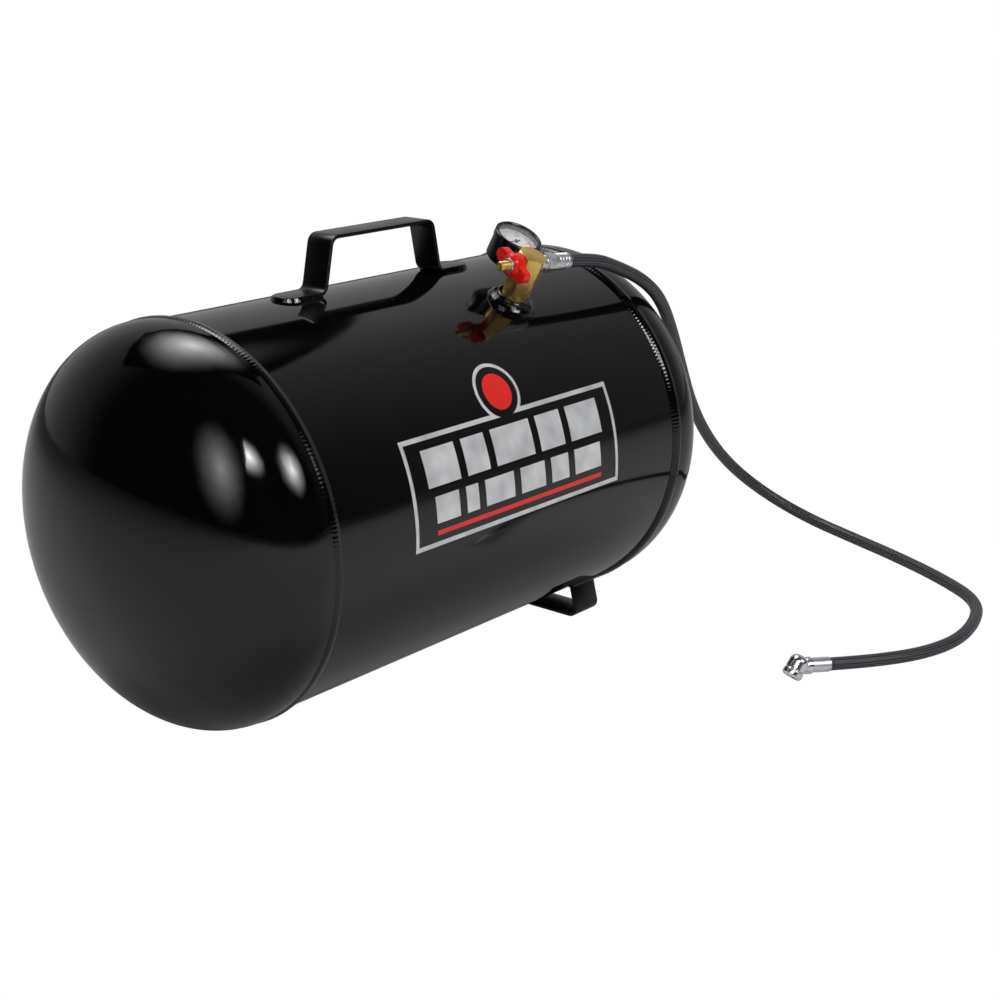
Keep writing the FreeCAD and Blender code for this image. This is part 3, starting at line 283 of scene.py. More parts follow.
def make_metal(name, colour, dark, roughness, grain_mm, grain_height_mm, stretch):
    """A worked metal: stretch squeezes its grain along each axis."""
    finish, tree, shader = new_finish(name, colour, roughness, 1.0)
    place = add(tree, "ShaderNodeTexCoord").outputs["Object"]
    along = add(tree, "ShaderNodeMapping", None, {"Vector": place, "Scale": stretch})
    grain = add(tree, "ShaderNodeTexNoise", None,
                {"Vector": along.outputs["Vector"], "Scale": 1 / (grain_mm * MM), "Detail": 4.0})
    tone = add(tree, "ShaderNodeTexNoise", None,
               {"Vector": place, "Scale": 1 / (TONE_MM * MM), "Detail": 2.0})
    mix = add(tree, "ShaderNodeMix", {"data_type": "RGBA"}, {"Factor": tone.outputs["Fac"]})
    mix.inputs["A"].default_value = linear(dark)
    mix.inputs["B"].default_value = linear(colour)
    bump = add(tree, "ShaderNodeBump", None,
               {"Height": grain.outputs["Fac"], "Strength": 1.0, "Distance": grain_height_mm * MM})
    rub = add(tree, "ShaderNodeMapRange", None,
              {"Value": grain.outputs["Fac"],
               "To Min": roughness * SMOOTHEST, "To Max": roughness * ROUGHEST})
    tree.links.new(mix.outputs["Result"], shader.inputs["Base Color"])
    tree.links.new(rub.outputs["Result"], shader.inputs["Roughness"])
    tree.links.new(bump.outputs["Normal"], shader.inputs["Normal"])
    return finish


print("metal recipe ready")

# %% Metals
EVEN = (1, 1, 1)
TURNED = (1, 1, 5)
# Machined bar: warm yellow with a soft, slightly streaked shine.
brass = make_metal("machined_brass", "#FFDF8C", "#EBC066", 0.38, 0.5, 0.012, TURNED)
# Stamped sheet inside the gauge: duller and browner.
inner_brass = make_metal("stamped_brass", "#D2A95C", "#B08A44", 0.35, 0.5, 0.01, EVEN)
# Drawn tube: red-brown and smooth.
bronze = make_metal("drawn_bronze", "#B4793F", "#8F5A2A", 0.3, 0.4, 0.005, EVEN)
# Bright zinc on steel: light grey, a little milky.
zinc = make_metal("bright_zinc_plate", "#EDEEF0", "#D4D6DA", 0.34, 0.6, 0.006, EVEN)
# Chrome on a die casting: near white, with the sharpest reflections here.
chrome = make_metal("polished_chrome", "#F4F5F7", "#E6E8EB", 0.22, 2.0, 0.003, EVEN)
# Bare spring wire: mid grey with a narrow shine.
spring_wire = make_metal("bright_spring_wire", "#B9BABD", "#8F9196", 0.3, 0.3, 0.004, EVEN)
print("metals made")

# %% [markdown]
# ## Plastics, rubber, glass and dial
# The knob is moulded red nylon: strong colour, soft gloss and a trace of light
# inside it, with the fine grain of its mould. The seals are dull rubber, the
# window is clear acrylic and the dial is printed. Only the knob and the gauge's
# case are seen large enough to need a pattern; the others are the same all over.

# %% Red nylon
MOULD_GRAIN_MM = 0.9
MOULD_GRAIN_HEIGHT_MM = 0.02
red_nylon, tree, shader = new_finish("moulded_red_nylon", "#F21D14", 0.25, 0.0,
                                     Specular_IOR_Level=0.5, Subsurface_Weight=0.05)
place = add(tree, "ShaderNodeTexCoord").outputs["Object"]
grain = add(tree, "ShaderNodeTexNoise", None,
            {"Vector": place, "Scale": 1 / (MOULD_GRAIN_MM * MM), "Detail": 3.0})
bump = add(tree, "ShaderNodeBump", None,
           {"Height": grain.outputs["Fac"], "Distance": MOULD_GRAIN_HEIGHT_MM * MM})
tree.links.new(bump.outputs["Normal"], shader.inputs["Normal"])
print("red nylon made")

# %% Case, seals, dial and window
# Black lacquer on the case: a soft, wide shine.
case_lacquer = make_enamel("black_lacquered_case", 1.0, 0.006, 0.22)
# Moulded nitrile: dull and nearly black.
seal_rubber = plain_finish("nitrile_rubber", "#17181A", 0.6)
# Print behind the window: flat colour with almost no shine.
dial_white = plain_finish("printed_dial_white", "#F1F1EE", 0.5)
dial_black = plain_finish("printed_dial_black", "#141414", 0.5)
dial_red = plain_finish("printed_dial_red", "#C5121A", 0.5)
# Sprayed pointer: black, a little shinier than the print.
pointer_black = plain_finish("pointer_lacquer", "#0A0A0A", 0.35)
# Clear acrylic: a faint sheet of reflection over the dial.
window = plain_finish("clear_acrylic_window", "#FFFFFF", 0.03, 0.0, Alpha=0.12, IOR=1.49)
print("case, seals, dial and window made")

# %% [markdown]
# ## Textile-covered hose
# The cover is a tight textile braid under a thin rubber skin. It reads as fine
# ribs along the hose, crossed by a faint weave. The braid could be modelled yarn
# by yarn, but it is only tenths of a millimetre deep, so two wave patterns do.
# They follow the hose's own UV map, so they bend with it: U runs along it and V
# round it, both in metres.

# %% Hose cover pattern
HOSE_DIAMETER = 11 * MM
RIB_PITCH = 2.2 * MM
WEAVE_PITCH = 1.6 * MM
WEAVE_SLANT = math.radians(52)
WEAVE_SHARE = 0.35
WAVE_PERIOD = 0.314  # a wave pattern of scale 1 repeats after this distance
hose_cover, tree, shader = new_finish("hose_cover", "#1B1C1E", 0.42, 0.0, Specular_IOR_Level=0.5)
flow = add(tree, "ShaderNodeUVMap", {"uv_map": "along_hose"}).outputs["UV"]
ribs = add(tree, "ShaderNodeTexWave", {"wave_type": "BANDS", "bands_direction": "Y"},
           {"Vector": flow, "Scale": WAVE_PERIOD / RIB_PITCH, "Distortion": 0.6, "Detail": 1.0,
            "Detail Scale": 2.0})
tilt = add(tree, "ShaderNodeMapping", None, {"Vector": flow, "Rotation": (0, 0, WEAVE_SLANT)})
weave = add(tree, "ShaderNodeTexWave", {"wave_type": "BANDS", "bands_direction": "X"},
            {"Vector": tilt.outputs["Vector"], "Scale": WAVE_PERIOD / WEAVE_PITCH,
             "Distortion": 0.3})
print("ribs every", RIB_PITCH, "m, weave every", WEAVE_PITCH, "m")

# %% Hose cover colour, with a painted highlight on the ribs and painted shade between them, and relief
COVER_DEPTH = 0.12 * MM
both = add(tree, "ShaderNodeMath", {"operation": "MULTIPLY_ADD"},
           {0: weave.outputs["Fac"], 1: WEAVE_SHARE, 2: ribs.outputs["Fac"]})
bump = add(tree, "ShaderNodeBump", None, {"Height": both.outputs["Value"], "Distance": COVER_DEPTH})
# The ribs' raised crests are painted mid grey and their grooves near black. This is a painted highlight along each
# rib and painted shade between the ribs.
tone = add(tree, "ShaderNodeMix", {"data_type": "RGBA"}, {"Factor": ribs.outputs["Fac"]})
tone.inputs["A"].default_value = linear("#08080A")
tone.inputs["B"].default_value = linear("#4A4C52")
tree.links.new(tone.outputs["Result"], shader.inputs["Base Color"])
tree.links.new(bump.outputs["Normal"], shader.inputs["Normal"])
print("hose cover made")

# %% [markdown]
# ## The hose
# The hose leaves the block level, is carried over the far shoulder of the tank by
# its own stiffness, drops to the floor and lies there in one open bow. A curve
# with a round bevel would draw it too. Here its route is one NURBS line through
# space and the tube is swept along points read from it, which gives the tube a UV
# map in metres, so the ribs and the weave keep their real size.

# %% Hose route
HOSE_ROUTE_MM = [
    (119.7, -97, 327.5),
    (151, -100.4, 325.6),
    (183, -102, 314.5),
    (217, -103, 300.5),
    (252, -98.5, 279),
    (287, -88, 245),
    (328.6, -71.4, 202.9),
    (374.6, -54.6, 154.2),
    (423.1, -44.4, 107.6),
    (469, -46, 67),
    (505, -67, 34),
    (521, -109, 12.5),
    (514, -163, 5.6),
    (491, -222, 5.6),
    (460, -288, 5.6),
    (423, -344, 5.6),
    (366, -367, 5.6),
    (307, -372, 5.6),
    (246, -349.5, 5.9),
    (193.4, -319.3, 10.8),
]
route_data = bpy.data.curves.new("hose_route", "CURVE")
route_data.dimensions = "3D"
route_data.resolution_u = 16
line = route_data.splines.new("NURBS")
line.points.add(len(HOSE_ROUTE_MM) - 1)
for point, spot in zip(line.points, HOSE_ROUTE_MM):
    point.co = (*(Vector(spot) * MM), 1)
line.order_u = 3
line.use_endpoint_u = True
print("hose route through", len(line.points), "points")

# %% Points along the route
route = bpy.data.objects.new("hose_route", route_data)
scene.collection.objects.link(route)
bpy.context.view_layer.update()
evaluated = route.evaluated_get(bpy.context.evaluated_depsgraph_get())
route_mesh = bpy.data.meshes.new_from_object(evaluated)
route_points = [vertex.co.copy() for vertex in route_mesh.vertices]
bpy.data.objects.remove(route)


# %% [markdown]
# A circle is carried along the line. Each ring keeps its twist from the ring
# before it, so the ribs run straight along the hose.

# %% Rings along the hose
def carried_rings(points, start_side):
    """A side and an up vector at each point, carried along without twist."""
    side = start_side.normalized()
    rings = []
    for index, point in enumerate(points):
        before = points[max(index - 1, 0)]
        after = points[min(index + 1, len(points) - 1)]
        way = (after - before).normalized()
        side = (side - way * side.dot(way)).normalized()
        rings.append((point, side, way.cross(side)))
    return rings


print("ring frames ready")


# %% Closed tube
def ring_mesh(name, rings, radius, sides):
    """A closed tube over the rings; its two ends are the last two faces."""
    vertices = []
    for point, side, up in rings:
        for step in range(sides):
            angle = 2 * math.pi * step / sides
            vertices.append(point + (side * math.cos(angle) + up * math.sin(angle)) * radius)
    faces = []
    for ring in range(len(rings) - 1):
        for step in range(sides):
            a = ring * sides + step
            b = ring * sides + (step + 1) % sides
            faces.append((a, b, b + sides, a + sides))
    last = (len(rings) - 1) * sides
    faces.append(tuple(reversed(range(sides))))
    faces.append(tuple(range(last, last + sides)))
    mesh = bpy.data.meshes.new(name)
    mesh.from_pydata(vertices, [], faces)
    return mesh


print("tube helper ready")


# %% Hose tube
def tube_along(name, points, radius, sides, material):
    """A closed tube with a UV map in metres, U along it and V round it."""
    mesh = ring_mesh(name, carried_rings(points, Vector((0, 1, 0.3))), radius, sides)
    uv = mesh.uv_layers.new(name="along_hose")
    travelled = [0.0]
    for a, b in zip(points, points[1:]):
        travelled.append(travelled[-1] + (b - a).length)
    girth = 2 * math.pi * radius
    for face in mesh.polygons[:-2]:
        ring, step = divmod(face.index, sides)
        corners = ((ring, step), (ring, step + 1), (ring + 1, step + 1), (ring + 1, step))
        for loop, (r, s) in zip(face.loop_indices, corners):
            uv.data[loop].uv = (travelled[r], girth * s / sides)
        face.use_smooth = True
    piece = bpy.data.objects.new(name, mesh)
    scene.collection.objects.link(piece)
    mesh.materials.append(material)
    return piece


print("hose helper ready")

# %% Hang the hose
HOSE_SIDES = 32
hose = tube_along("hose_tube", route_points, HOSE_DIAMETER / 2, HOSE_SIDES, hose_cover)
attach(hose, "tank")
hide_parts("hose")
print("hose tube:", len(hose.data.polygons), "faces")

# %% [markdown]
# ## Studio
# The object stands alone on pure white, so the floor and the far distance show as
# plain white to the camera. A very bright floor would give that too, but would
# wash out the black enamel. So what the enamel mirrors is set apart from what the
# camera sees: a pale floor below, a dark room in front, and a few glowing panels.

# %% Floor
FLOOR_SIZE = 40
bpy.ops.mesh.primitive_plane_add(size=FLOOR_SIZE, location=(0, 0, 0))
floor = bpy.context.object
floor.name = "studio_floor"
floor_paint, tree, shader = new_finish("studio_floor_white", "#D8D8D8", 0.9, 0.0,
                                       Specular_IOR_Level=0.1)
glow = add(tree, "ShaderNodeEmission", None, {"Color": (1, 1, 1, 1), "Strength": 1.0})
seen = add(tree, "ShaderNodeLightPath")
choose = add(tree, "ShaderNodeMixShader", None,
             {0: seen.outputs["Is Camera Ray"], 1: shader.outputs[0], 2: glow.outputs[0]})
tree.links.new(choose.outputs[0], tree.nodes["Material Output"].inputs["Surface"])
floor.data.materials.append(floor_paint)
print("floor laid,", FLOOR_SIZE, "m across")

# %% Surroundings
ROOM_STRENGTH = 0.75
ROOM_SHADES = [(0.0, (0.012, 0.012, 0.013, 1)), (0.75, (0.55, 0.55, 0.56, 1))]  # front, then back
world = bpy.data.worlds.new("studio")
scene.world = world
world.use_nodes = True
tree = world.node_tree
tree.nodes.clear()
away = Vector((-camera_back.x, -camera_back.y, 0)).normalized()
direction = add(tree, "ShaderNodeTexCoord").outputs["Generated"]
behind = add(tree, "ShaderNodeVectorMath", {"operation": "DOT_PRODUCT"},
             {0: direction, 1: tuple(away)})
ramp = add(tree, "ShaderNodeValToRGB", None, {"Fac": behind.outputs["Value"]})
for stop, (spot, shade) in zip(ramp.color_ramp.elements, ROOM_SHADES):
    stop.position = spot
    stop.color = shade
room = add(tree, "ShaderNodeBackground", None,
           {"Color": ramp.outputs["Color"], "Strength": ROOM_STRENGTH})
backdrop = add(tree, "ShaderNodeBackground", None, {"Color": (1, 1, 1, 1), "Strength": 1.0})
seen = add(tree, "ShaderNodeLightPath")
choose = add(tree, "ShaderNodeMixShader", None,
             {0: seen.outputs["Is Camera Ray"], 1: room.outputs[0], 2: backdrop.outputs[0]})
add(tree, "ShaderNodeOutputWorld", None, {"Surface": choose.outputs[0]})
print("room shades:", len(ROOM_SHADES))


# %% [markdown]
# A panel is a plane that glows most in its middle. A lamp with a hard edge would
# put a hard window on the domes. The fade is worked out in the panel's own
# coordinates, from its middle to its edge, and makes soft highlights.

# %% Light panel
def soft_panel(name, spot, target, size, strength):
    """A glowing panel at spot that faces target and fades to its edges."""
    bpy.ops.mesh.primitive_plane_add(size=2)
    panel = bpy.context.object
    panel.name = name
    panel.location = spot
    panel.rotation_mode = "QUATERNION"
    panel.rotation_quaternion = (Vector(target) - Vector(spot)).to_track_quat("Z", "Y")
    panel.scale = (size[0] / 2, size[1] / 2, 1)
    glow = bpy.data.materials.new(name + "_glow")
    glow.use_nodes = True
    tree = glow.node_tree
    tree.nodes.clear()
    place = add(tree, "ShaderNodeTexCoord").outputs["Object"]
    fade = add(tree, "ShaderNodeTexGradient", {"gradient_type": "QUADRATIC_SPHERE"},
               {"Vector": place})
    power = add(tree, "ShaderNodeMath", {"operation": "MULTIPLY"},
                {0: fade.outputs["Fac"], 1: strength})
    light = add(tree, "ShaderNodeEmission", None, {"Strength": power.outputs["Value"]})
    add(tree, "ShaderNodeOutputMaterial", None, {"Surface": light.outputs[0]})
    panel.data.materials.append(glow)
    panel.visible_camera = False


print("panel helper ready")

# %% The four panels
TANK_MIDDLE = (0, 0, AXIS_Z)
PANELS = [  # name, place, what it faces, width and height, strength
    ("overhead_panel", (0.2, 0.9, 2.3), TANK_MIDDLE, (3.4, 2.0), 10),
    ("left_panel", (-2.2, -0.55, 1.15), (-0.25, 0, AXIS_Z), (1.5, 2.1), 5),
    ("front_panel", (0.2, -2.6, 1.9), TANK_MIDDLE, (2.4, 1.6), 22),
    ("camera_side_panel", (-2.6, -2.0, 2.6), (0, -0.1, 0.3), (2.2, 1.5), 30),
]
for name, spot, target, size, strength in PANELS:
    soft_panel(name, spot, target, size, strength)
print("studio lit by", len(PANELS), "panels")

# %% [markdown]
# ## A finish for every loaded piece
# The engineering model says what each piece is made of. A table turns that into
# the finish made above, so no piece is forgotten. The two beads round the tank
# then get their own rippled enamel.

# %% Give every loaded piece its finish
FINISHES = {
    "black_enamel": black_enamel,
    "enamelled_weld": weld_enamel,
    "machined_brass": brass,
    "movement_brass": inner_brass,
    "bronze_tube": bronze,
    "spring_steel": spring_wire,
    "zinc_plated_steel": zinc,
    "chrome_plated_zinc": chrome,
    "nitrile_rubber": seal_rubber,
    "red_nylon": red_nylon,
    "black_case": case_lacquer,
    "clear_lens": window,
    "white_dial": dial_white,
    "black_pointer": pointer_black,
    "braided_rubber": hose_cover,
    "printed_film": black_enamel,
}
node_slots = {part["node"]: part["material_slot"] for part in frame["record"]["subparts"]}
for name, piece in nodes.items():
    piece.data.materials.clear()
    piece.data.materials.append(FINISHES[node_slots[name]])
for name in ("seam_weld_near", "seam_weld_far"):
    nodes[name].data.materials[0] = seam_enamel
print("finishes given to", len(nodes), "nodes")


# %% [markdown]
# ## Softened edges
# Real bar, castings and mouldings have no knife edges. Each of these pieces is
# copied from the loaded model, merged into one surface and given a small bevel,
# because a catch of light along the edge is what makes it look solid. Modelling
# them again would risk another shape than the one that fits.

# %% Helpers for finished pieces
def to_body(piece, body, replaces=None):
    """Hang a finished piece on its body, and hide the loaded piece it replaces, if any."""
    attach(piece, body)
    if replaces:
        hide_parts(replaces)
    return piece


def only(piece):
    """Select this piece and nothing else."""
    bpy.ops.object.select_all(action="DESELECT")
    piece.select_set(True)
    bpy.context.view_layer.objects.active = piece


print("piece helpers ready")

# %% Bevelled copy
MERGE_GAP = 0.00001
FLAT_ANGLE = math.radians(0.5)
EDGE_ANGLE = math.radians(40)
SMOOTH_ANGLE = math.radians(35)


def softened(node, width_mm, body, material):
    """Replace a loaded piece by a copy whose edges are rounded by width_mm."""
    piece = bpy.data.objects.new(node + "_soft", nodes[node].data.copy())
    scene.collection.objects.link(piece)
    piece.matrix_world = nodes[node].matrix_world.copy()
    only(piece)
    bpy.ops.object.transform_apply(location=True, rotation=True, scale=True)
    bpy.ops.object.mode_set(mode="EDIT")
    bpy.ops.mesh.select_all(action="SELECT")
    bpy.ops.mesh.remove_doubles(threshold=MERGE_GAP)
    bpy.ops.mesh.dissolve_limited(angle_limit=FLAT_ANGLE)
    bpy.ops.object.mode_set(mode="OBJECT")
    bevel = piece.modifiers.new("soft_edges", "BEVEL")
    bevel.width = width_mm * MM
    bevel.segments = 3
    bevel.limit_method = "ANGLE"
    bevel.angle_limit = EDGE_ANGLE
    bpy.ops.object.modifier_apply(modifier="soft_edges")
    bpy.ops.object.shade_smooth_by_angle(angle=SMOOTH_ANGLE)
    piece.data.materials.clear()
    piece.data.materials.append(material)
    return to_body(piece, body, node)


print("bevel helper ready")

# %% Soften the pieces
SOFTENED = [  # node, edge rounding in millimetres, body, finish
    ("knob", 1.0, "knob_set", red_nylon),
    ("valve_block", 0.35, "tank", brass),
    ("handle", 0.5, "tank", bar_enamel),
    ("cross_foot", 0.4, "tank", bar_enamel),
    ("near_rest", 0.4, "tank", bar_enamel),
    ("hose_fitting", 0.3, "tank", zinc),
    ("chuck_collar", 0.3, "tank", chrome),
    ("bung", 0.4, "tank", black_enamel),
    ("gauge_case", 0.3, "tank", case_lacquer),
]
for node, width_mm, body, material in SOFTENED:
    piece = softened(node, width_mm, body, material)
    print(piece.name, len(piece.data.polygons), "faces")


# %% [markdown]
# ## Turned details
# The stem is threaded, and the knob has a raised ring round it. Both are round,
# so a profile of radius and height pairs is drawn out ring by ring from a circle,
# as a lathe would cut it, then set in its place.

# %% Lathe helper
SEAM_GAP = 0.000002


def lathe(name, profile_mm, sides, at, material, closed=True):
    """Turn a profile about Z, then lay the piece into a frame."""
    bpy.ops.mesh.primitive_circle_add(vertices=sides, radius=profile_mm[0][0] * MM)
    piece = bpy.context.object
    piece.name = name
    bpy.ops.object.mode_set(mode="EDIT")
    bpy.ops.mesh.select_all(action="SELECT")
    bpy.ops.transform.translate(value=(0, 0, profile_mm[0][1] * MM))
    for (r0, z0), (r1, z1) in zip(profile_mm, profile_mm[1:]):
        rise = {"value": (0, 0, (z1 - z0) * MM)}
        bpy.ops.mesh.extrude_region_move(TRANSFORM_OT_translate=rise)
        bpy.ops.transform.resize(value=(r1 / r0, r1 / r0, 1), center_override=(0, 0, z1 * MM))
    bpy.ops.mesh.select_all(action="SELECT")
    bpy.ops.mesh.remove_doubles(threshold=SEAM_GAP)
    if closed:
        bpy.ops.mesh.normals_make_consistent(inside=False)
    bpy.ops.object.mode_set(mode="OBJECT")
    piece.matrix_world = at
    only(piece)
    bpy.ops.object.transform_apply(location=True, rotation=True, scale=True)
    bpy.ops.object.shade_smooth_by_angle(angle=SMOOTH_ANGLE)
    piece.data.materials.append(material)
    return piece


print("lathe ready")

# %% [markdown]
# The thread on the stem could be a helix. At this size its slope can't be seen,
# so it is a row of rings, each with a root, a slope and a flat crest.

# %% Stem thread
KNOB_FRONT = 22.5  # these are millimetres out from the middle of the block
STEM_END = 33
THREAD_START = KNOB_FRONT + 1.6
THREAD_STOP = STEM_END - 2.2
THREAD_PITCH = 0.9
BORE_R, ROOT_R, CREST_R = 3.6, 3.72, 4.0
thread = [(BORE_R, THREAD_START)]
turn_at = THREAD_START
while turn_at < THREAD_STOP:
    thread += [(ROOT_R, turn_at), (CREST_R, turn_at + 0.3), (CREST_R, turn_at + 0.5),
               (ROOT_R, turn_at + 0.8)]
    turn_at += THREAD_PITCH
thread += [(BORE_R, turn_at), (BORE_R, THREAD_START)]
stem_thread = lathe("stem_thread", thread, 48, knob_frame, brass)
to_body(stem_thread, "knob_set")
print("stem thread:", len(thread), "points in its profile")

# %% Knob ring
RING_IN, RING_OUT = 5.4, 7.6
RING_BACK = KNOB_FRONT - 0.2
RING_STEP = KNOB_FRONT + 0.35
RING_TOP = KNOB_FRONT + 0.7
ring = [(RING_IN, RING_BACK), (RING_OUT, RING_BACK), (RING_OUT, RING_STEP), (7.2, RING_TOP),
        (6.6, RING_TOP), (6.3, RING_STEP), (RING_IN, KNOB_FRONT + 0.3), (RING_IN, RING_BACK)]
to_body(lathe("knob_ring", ring, 64, knob_frame, red_nylon), "knob_set")
print("knob ring:", len(ring), "points in its profile")

# %% [markdown]
# ## Gauge face
# A ring of ticks, plain dial numbers and a red arc for the top of the scale are
# printed on the dial. An image would be quicker, but goes soft when seen close.
# Each mark is a thin block of ink, laid by its angle round the dial. The scale
# runs clockwise from the resting pointer.

# %% Helpers for the dial
DIAL_TOP = -6.44  # the dial's face in the gauge's frame, in millimetres
INK_MM = 0.05
REST_ANGLE = 215
SCALE_SWEEP = 270


def dial_mark(name, radius, angle, length, width, material):
    """One block of ink; sizes in millimetres, and the angle in degrees."""
    bpy.ops.mesh.primitive_cube_add(size=1)
    mark = bpy.context.object
    mark.name = name
    turn = Matrix.Rotation(math.radians(angle), 4, "Z")
    reach = Matrix.Translation((radius * MM, 0, DIAL_TOP * MM))
    ink = Matrix.Diagonal((length * MM, width * MM, INK_MM * MM, 1))
    mark.matrix_world = gauge_frame @ turn @ reach @ ink
    only(mark)
    bpy.ops.object.transform_apply(location=True, rotation=True, scale=True)
    mark.data.materials.append(material)
    return mark


def joined(marks, name):
    """Join the marks into one piece."""
    bpy.ops.object.select_all(action="DESELECT")
    for mark in marks:
        mark.select_set(True)
    bpy.context.view_layer.objects.active = marks[0]
    bpy.ops.object.join()
    marks[0].name = name
    return marks[0]


print("dial helpers ready")

# %% Ticks
STEPS = 40
MAJOR_TICK = (15.2, 2.4, 0.4)  # radius of its middle, length and width, in millimetres
MINOR_TICK = (15.7, 1.4, 0.22)
ticks = []
for step in range(STEPS + 1):
    angle = REST_ANGLE - SCALE_SWEEP * step / STEPS
    radius, length, width = MINOR_TICK if step % 5 else MAJOR_TICK
    ticks.append(dial_mark("tick", radius, angle, length, width, dial_black))
to_body(joined(ticks, "dial_ticks"), "tank")
print("ticks:", STEPS + 1)

# %% Red arc
ARC_MARKS = 25
ARC_START = 45
ARC_TURN = 2.5
ARC_MARK = (13.3, 1.1, 0.62)
radius, length, width = ARC_MARK
arc = [dial_mark("arc", radius, ARC_START - ARC_TURN * step, length, width, dial_red)
       for step in range(ARC_MARKS)]
to_body(joined(arc, "dial_red_arc"), "tank")
print("red arc over", ARC_TURN * ARC_MARKS, "degrees")

# %% Numbers
SCALE_TOP = 240
NUMBER_R = 10.4
NUMBER_SIZE = 2.9
numbers = []
for value in (0, 60, 120, 180, 240):
    bpy.ops.object.text_add()
    number = bpy.context.object
    number.data.body = str(value)
    number.data.size = NUMBER_SIZE * MM
    number.data.align_x = "CENTER"
    number.data.align_y = "CENTER"
    number.data.extrude = 0.02 * MM
    angle = math.radians(REST_ANGLE - SCALE_SWEEP * value / SCALE_TOP)
    spot = Vector((NUMBER_R * math.cos(angle), NUMBER_R * math.sin(angle), DIAL_TOP)) * MM
    number.matrix_world = gauge_frame @ Matrix.Translation(spot)
    only(number)
    bpy.ops.object.convert(target="MESH")
    bpy.ops.object.transform_apply(location=True, rotation=True, scale=True)
    number.data.materials.clear()
    number.data.materials.append(dial_black)
    numbers.append(number)
to_body(joined(numbers, "dial_numbers"), "tank")
print("dial numbers printed")

# %% [markdown]
# ## Label
# A plain printed label on the tank's open side: a dark panel in a silver frame,
# two rows of plain silver bars and a round badge above it. It is thin film that
# follows the shell. Each patch starts as a flat grid in front of the shell and is
# wrapped on to it, so its edges stay straight seen from the front. The layers
# stand a few hundredths of a millimetre apart, so that none shows through another.

# %% Label inks
# Silver ink on film: pale grey, slightly metallic, with a slow change of tone.
INK_TONE_MM = 16
print_silver, tree, shader = new_finish("printed_silver_film", "#D9DBDE", 0.4, 0.25)
place = add(tree, "ShaderNodeTexCoord").outputs["Object"]
shade = add(tree, "ShaderNodeTexNoise", None,
            {"Vector": place, "Scale": 1 / (INK_TONE_MM * MM), "Detail": 1.0})
mix = add(tree, "ShaderNodeMix", {"data_type": "RGBA"}, {"Factor": shade.outputs["Fac"]})
mix.inputs["A"].default_value = linear("#B4B6BA")
mix.inputs["B"].default_value = linear("#FFFFFF")
tree.links.new(mix.outputs["Result"], shader.inputs["Base Color"])
# Black ink on gloss film: a mirror nearly as deep as the enamel.
print_black = plain_finish("printed_black_film", "#0B0B0D", 0.12)
# Red ink on film: flat, strong colour.
print_red = plain_finish("printed_red_film", "#EE2A22", 0.3)
print("label inks made")

# %% Where the label lies
LABEL_MIDDLE_X = -2.75 * MM
LABEL_ANGLE = math.radians(78.15)  # down from the top of the tank
CLEAR_OF_SHELL = 12 * MM
LOW, MIDDLE, HIGH = 0.15, 0.21, 0.27  # the layers of film, in millimetres off the shell


def label_frame(x, angle):
    """A frame in front of the shell, with Z out and X along the tank."""
    out = Vector((0, -math.sin(angle), math.cos(angle)))
    spot = Vector((x, 0, AXIS_Z)) + out * (TANK_R + CLEAR_OF_SHELL)
    return local_frame(spot, out, (1, 0, 0))


print("label", round(math.degrees(LABEL_ANGLE), 1), "degrees down from the top")


# %% Wrap film on to the shell
def wrapped(piece, lift_mm, material):
    """Wrap a flat piece on to the shell along its own Z, a little proud of it."""
    only(piece)
    wrap = piece.modifiers.new("wrap", "SHRINKWRAP")
    wrap.target = nodes["shell"]
    wrap.wrap_method = "PROJECT"
    wrap.use_project_z = True
    wrap.use_negative_direction = True
    wrap.use_positive_direction = False
    wrap.offset = lift_mm * MM
    bpy.ops.object.modifier_apply(modifier="wrap")
    bpy.ops.object.transform_apply(location=True, rotation=True, scale=True)
    bpy.ops.object.shade_smooth_by_angle(angle=SMOOTH_ANGLE)
    piece.data.materials.clear()
    piece.data.materials.append(material)
    return piece


print("wrapping ready")


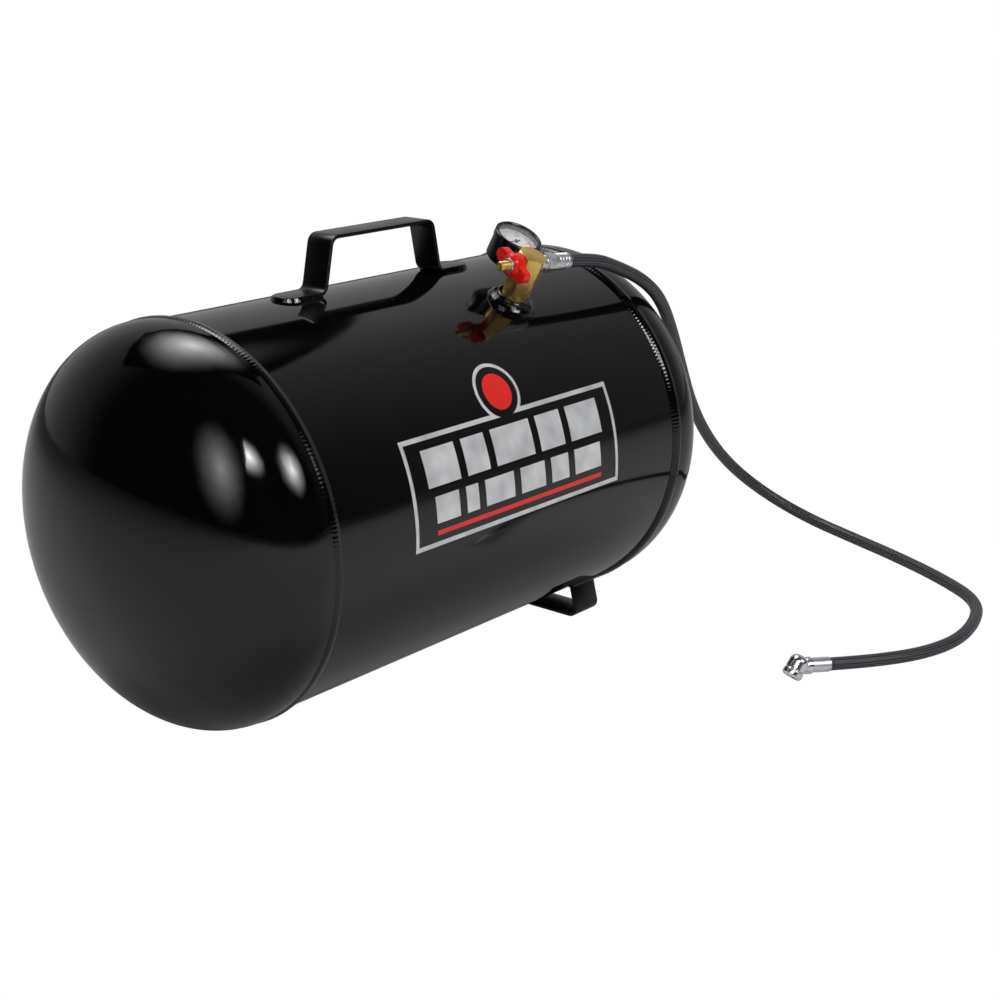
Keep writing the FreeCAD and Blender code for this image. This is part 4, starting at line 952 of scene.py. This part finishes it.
# %% Patch of film
def patch(name, x, y, width, height, lift_mm, material):
    """A rectangle of film; places and sizes in millimetres on the label."""
    bpy.ops.mesh.primitive_grid_add(x_subdivisions=12, y_subdivisions=24, size=1)
    piece = bpy.context.object
    piece.name = name
    spot = Matrix.Translation((x * MM, y * MM, 0))
    piece.matrix_world = label_frame(LABEL_MIDDLE_X, LABEL_ANGLE) @ spot
    piece.scale = (width * MM, height * MM, 1)
    return wrapped(piece, lift_mm, material)


print("patch helper ready")

# %% Frame and panel
frame_film = patch("label_frame_film", 0, 0, 247, 82, LOW, print_silver)
to_body(frame_film, "tank", "label")
panel = patch("label_panel_film", 0, 0, 240, 75, MIDDLE, print_black)
to_body(panel, "tank")
print("frame and panel printed")

# %% Bars and red line
BAR_GAP = 8
BAR_ROWS = [  # height of the row's middle, height of its bars, widths of its bars
    (17, 28, (36, 26, 46, 30, 40)),
    (-14, 20, (26, 14, 34, 30, 22, 34)),
]
bars = []
for y, height, widths in BAR_ROWS:
    x = -(sum(widths) + BAR_GAP * (len(widths) - 1)) / 2
    for width in widths:
        bars.append(patch("label_bar", x + width / 2, y, width, height, HIGH, print_silver))
        x += width + BAR_GAP
to_body(joined(bars, "label_bars"), "tank")
red_line = patch("label_red_line", 0, -31, 200, 3.5, HIGH, print_red)
to_body(red_line, "tank")
print("bars in rows of", [len(widths) for y, height, widths in BAR_ROWS])

# %% [markdown]
# The badge is three round films, one on another. A disc of one face could not
# follow the shell, so each is turned as ten rings from its rim to its middle.

# %% Badge
BADGE_X = -5 * MM
BADGE_ANGLE = math.radians(56.5)
BADGE_RINGS = 10
PIN_HOLE = 0.01  # the innermost ring is drawn this small, because no ring can be nothing
BADGE_FILMS = [  # name, radius in millimetres, layer, ink
    ("badge_rim", 24, LOW, print_silver),
    ("badge_ring", 21, MIDDLE, print_black),
    ("badge_middle", 15, HIGH, print_red),
]
for name, radius, lift_mm, material in BADGE_FILMS:
    rings = [(radius * (1 - step / BADGE_RINGS) + PIN_HOLE, 0) for step in range(BADGE_RINGS + 1)]
    disc = lathe(name, rings, 64, Matrix.Identity(4), material, closed=False)
    disc.matrix_world = label_frame(BADGE_X, BADGE_ANGLE)
    to_body(wrapped(disc, lift_mm, material), "tank")
print("badge printed")
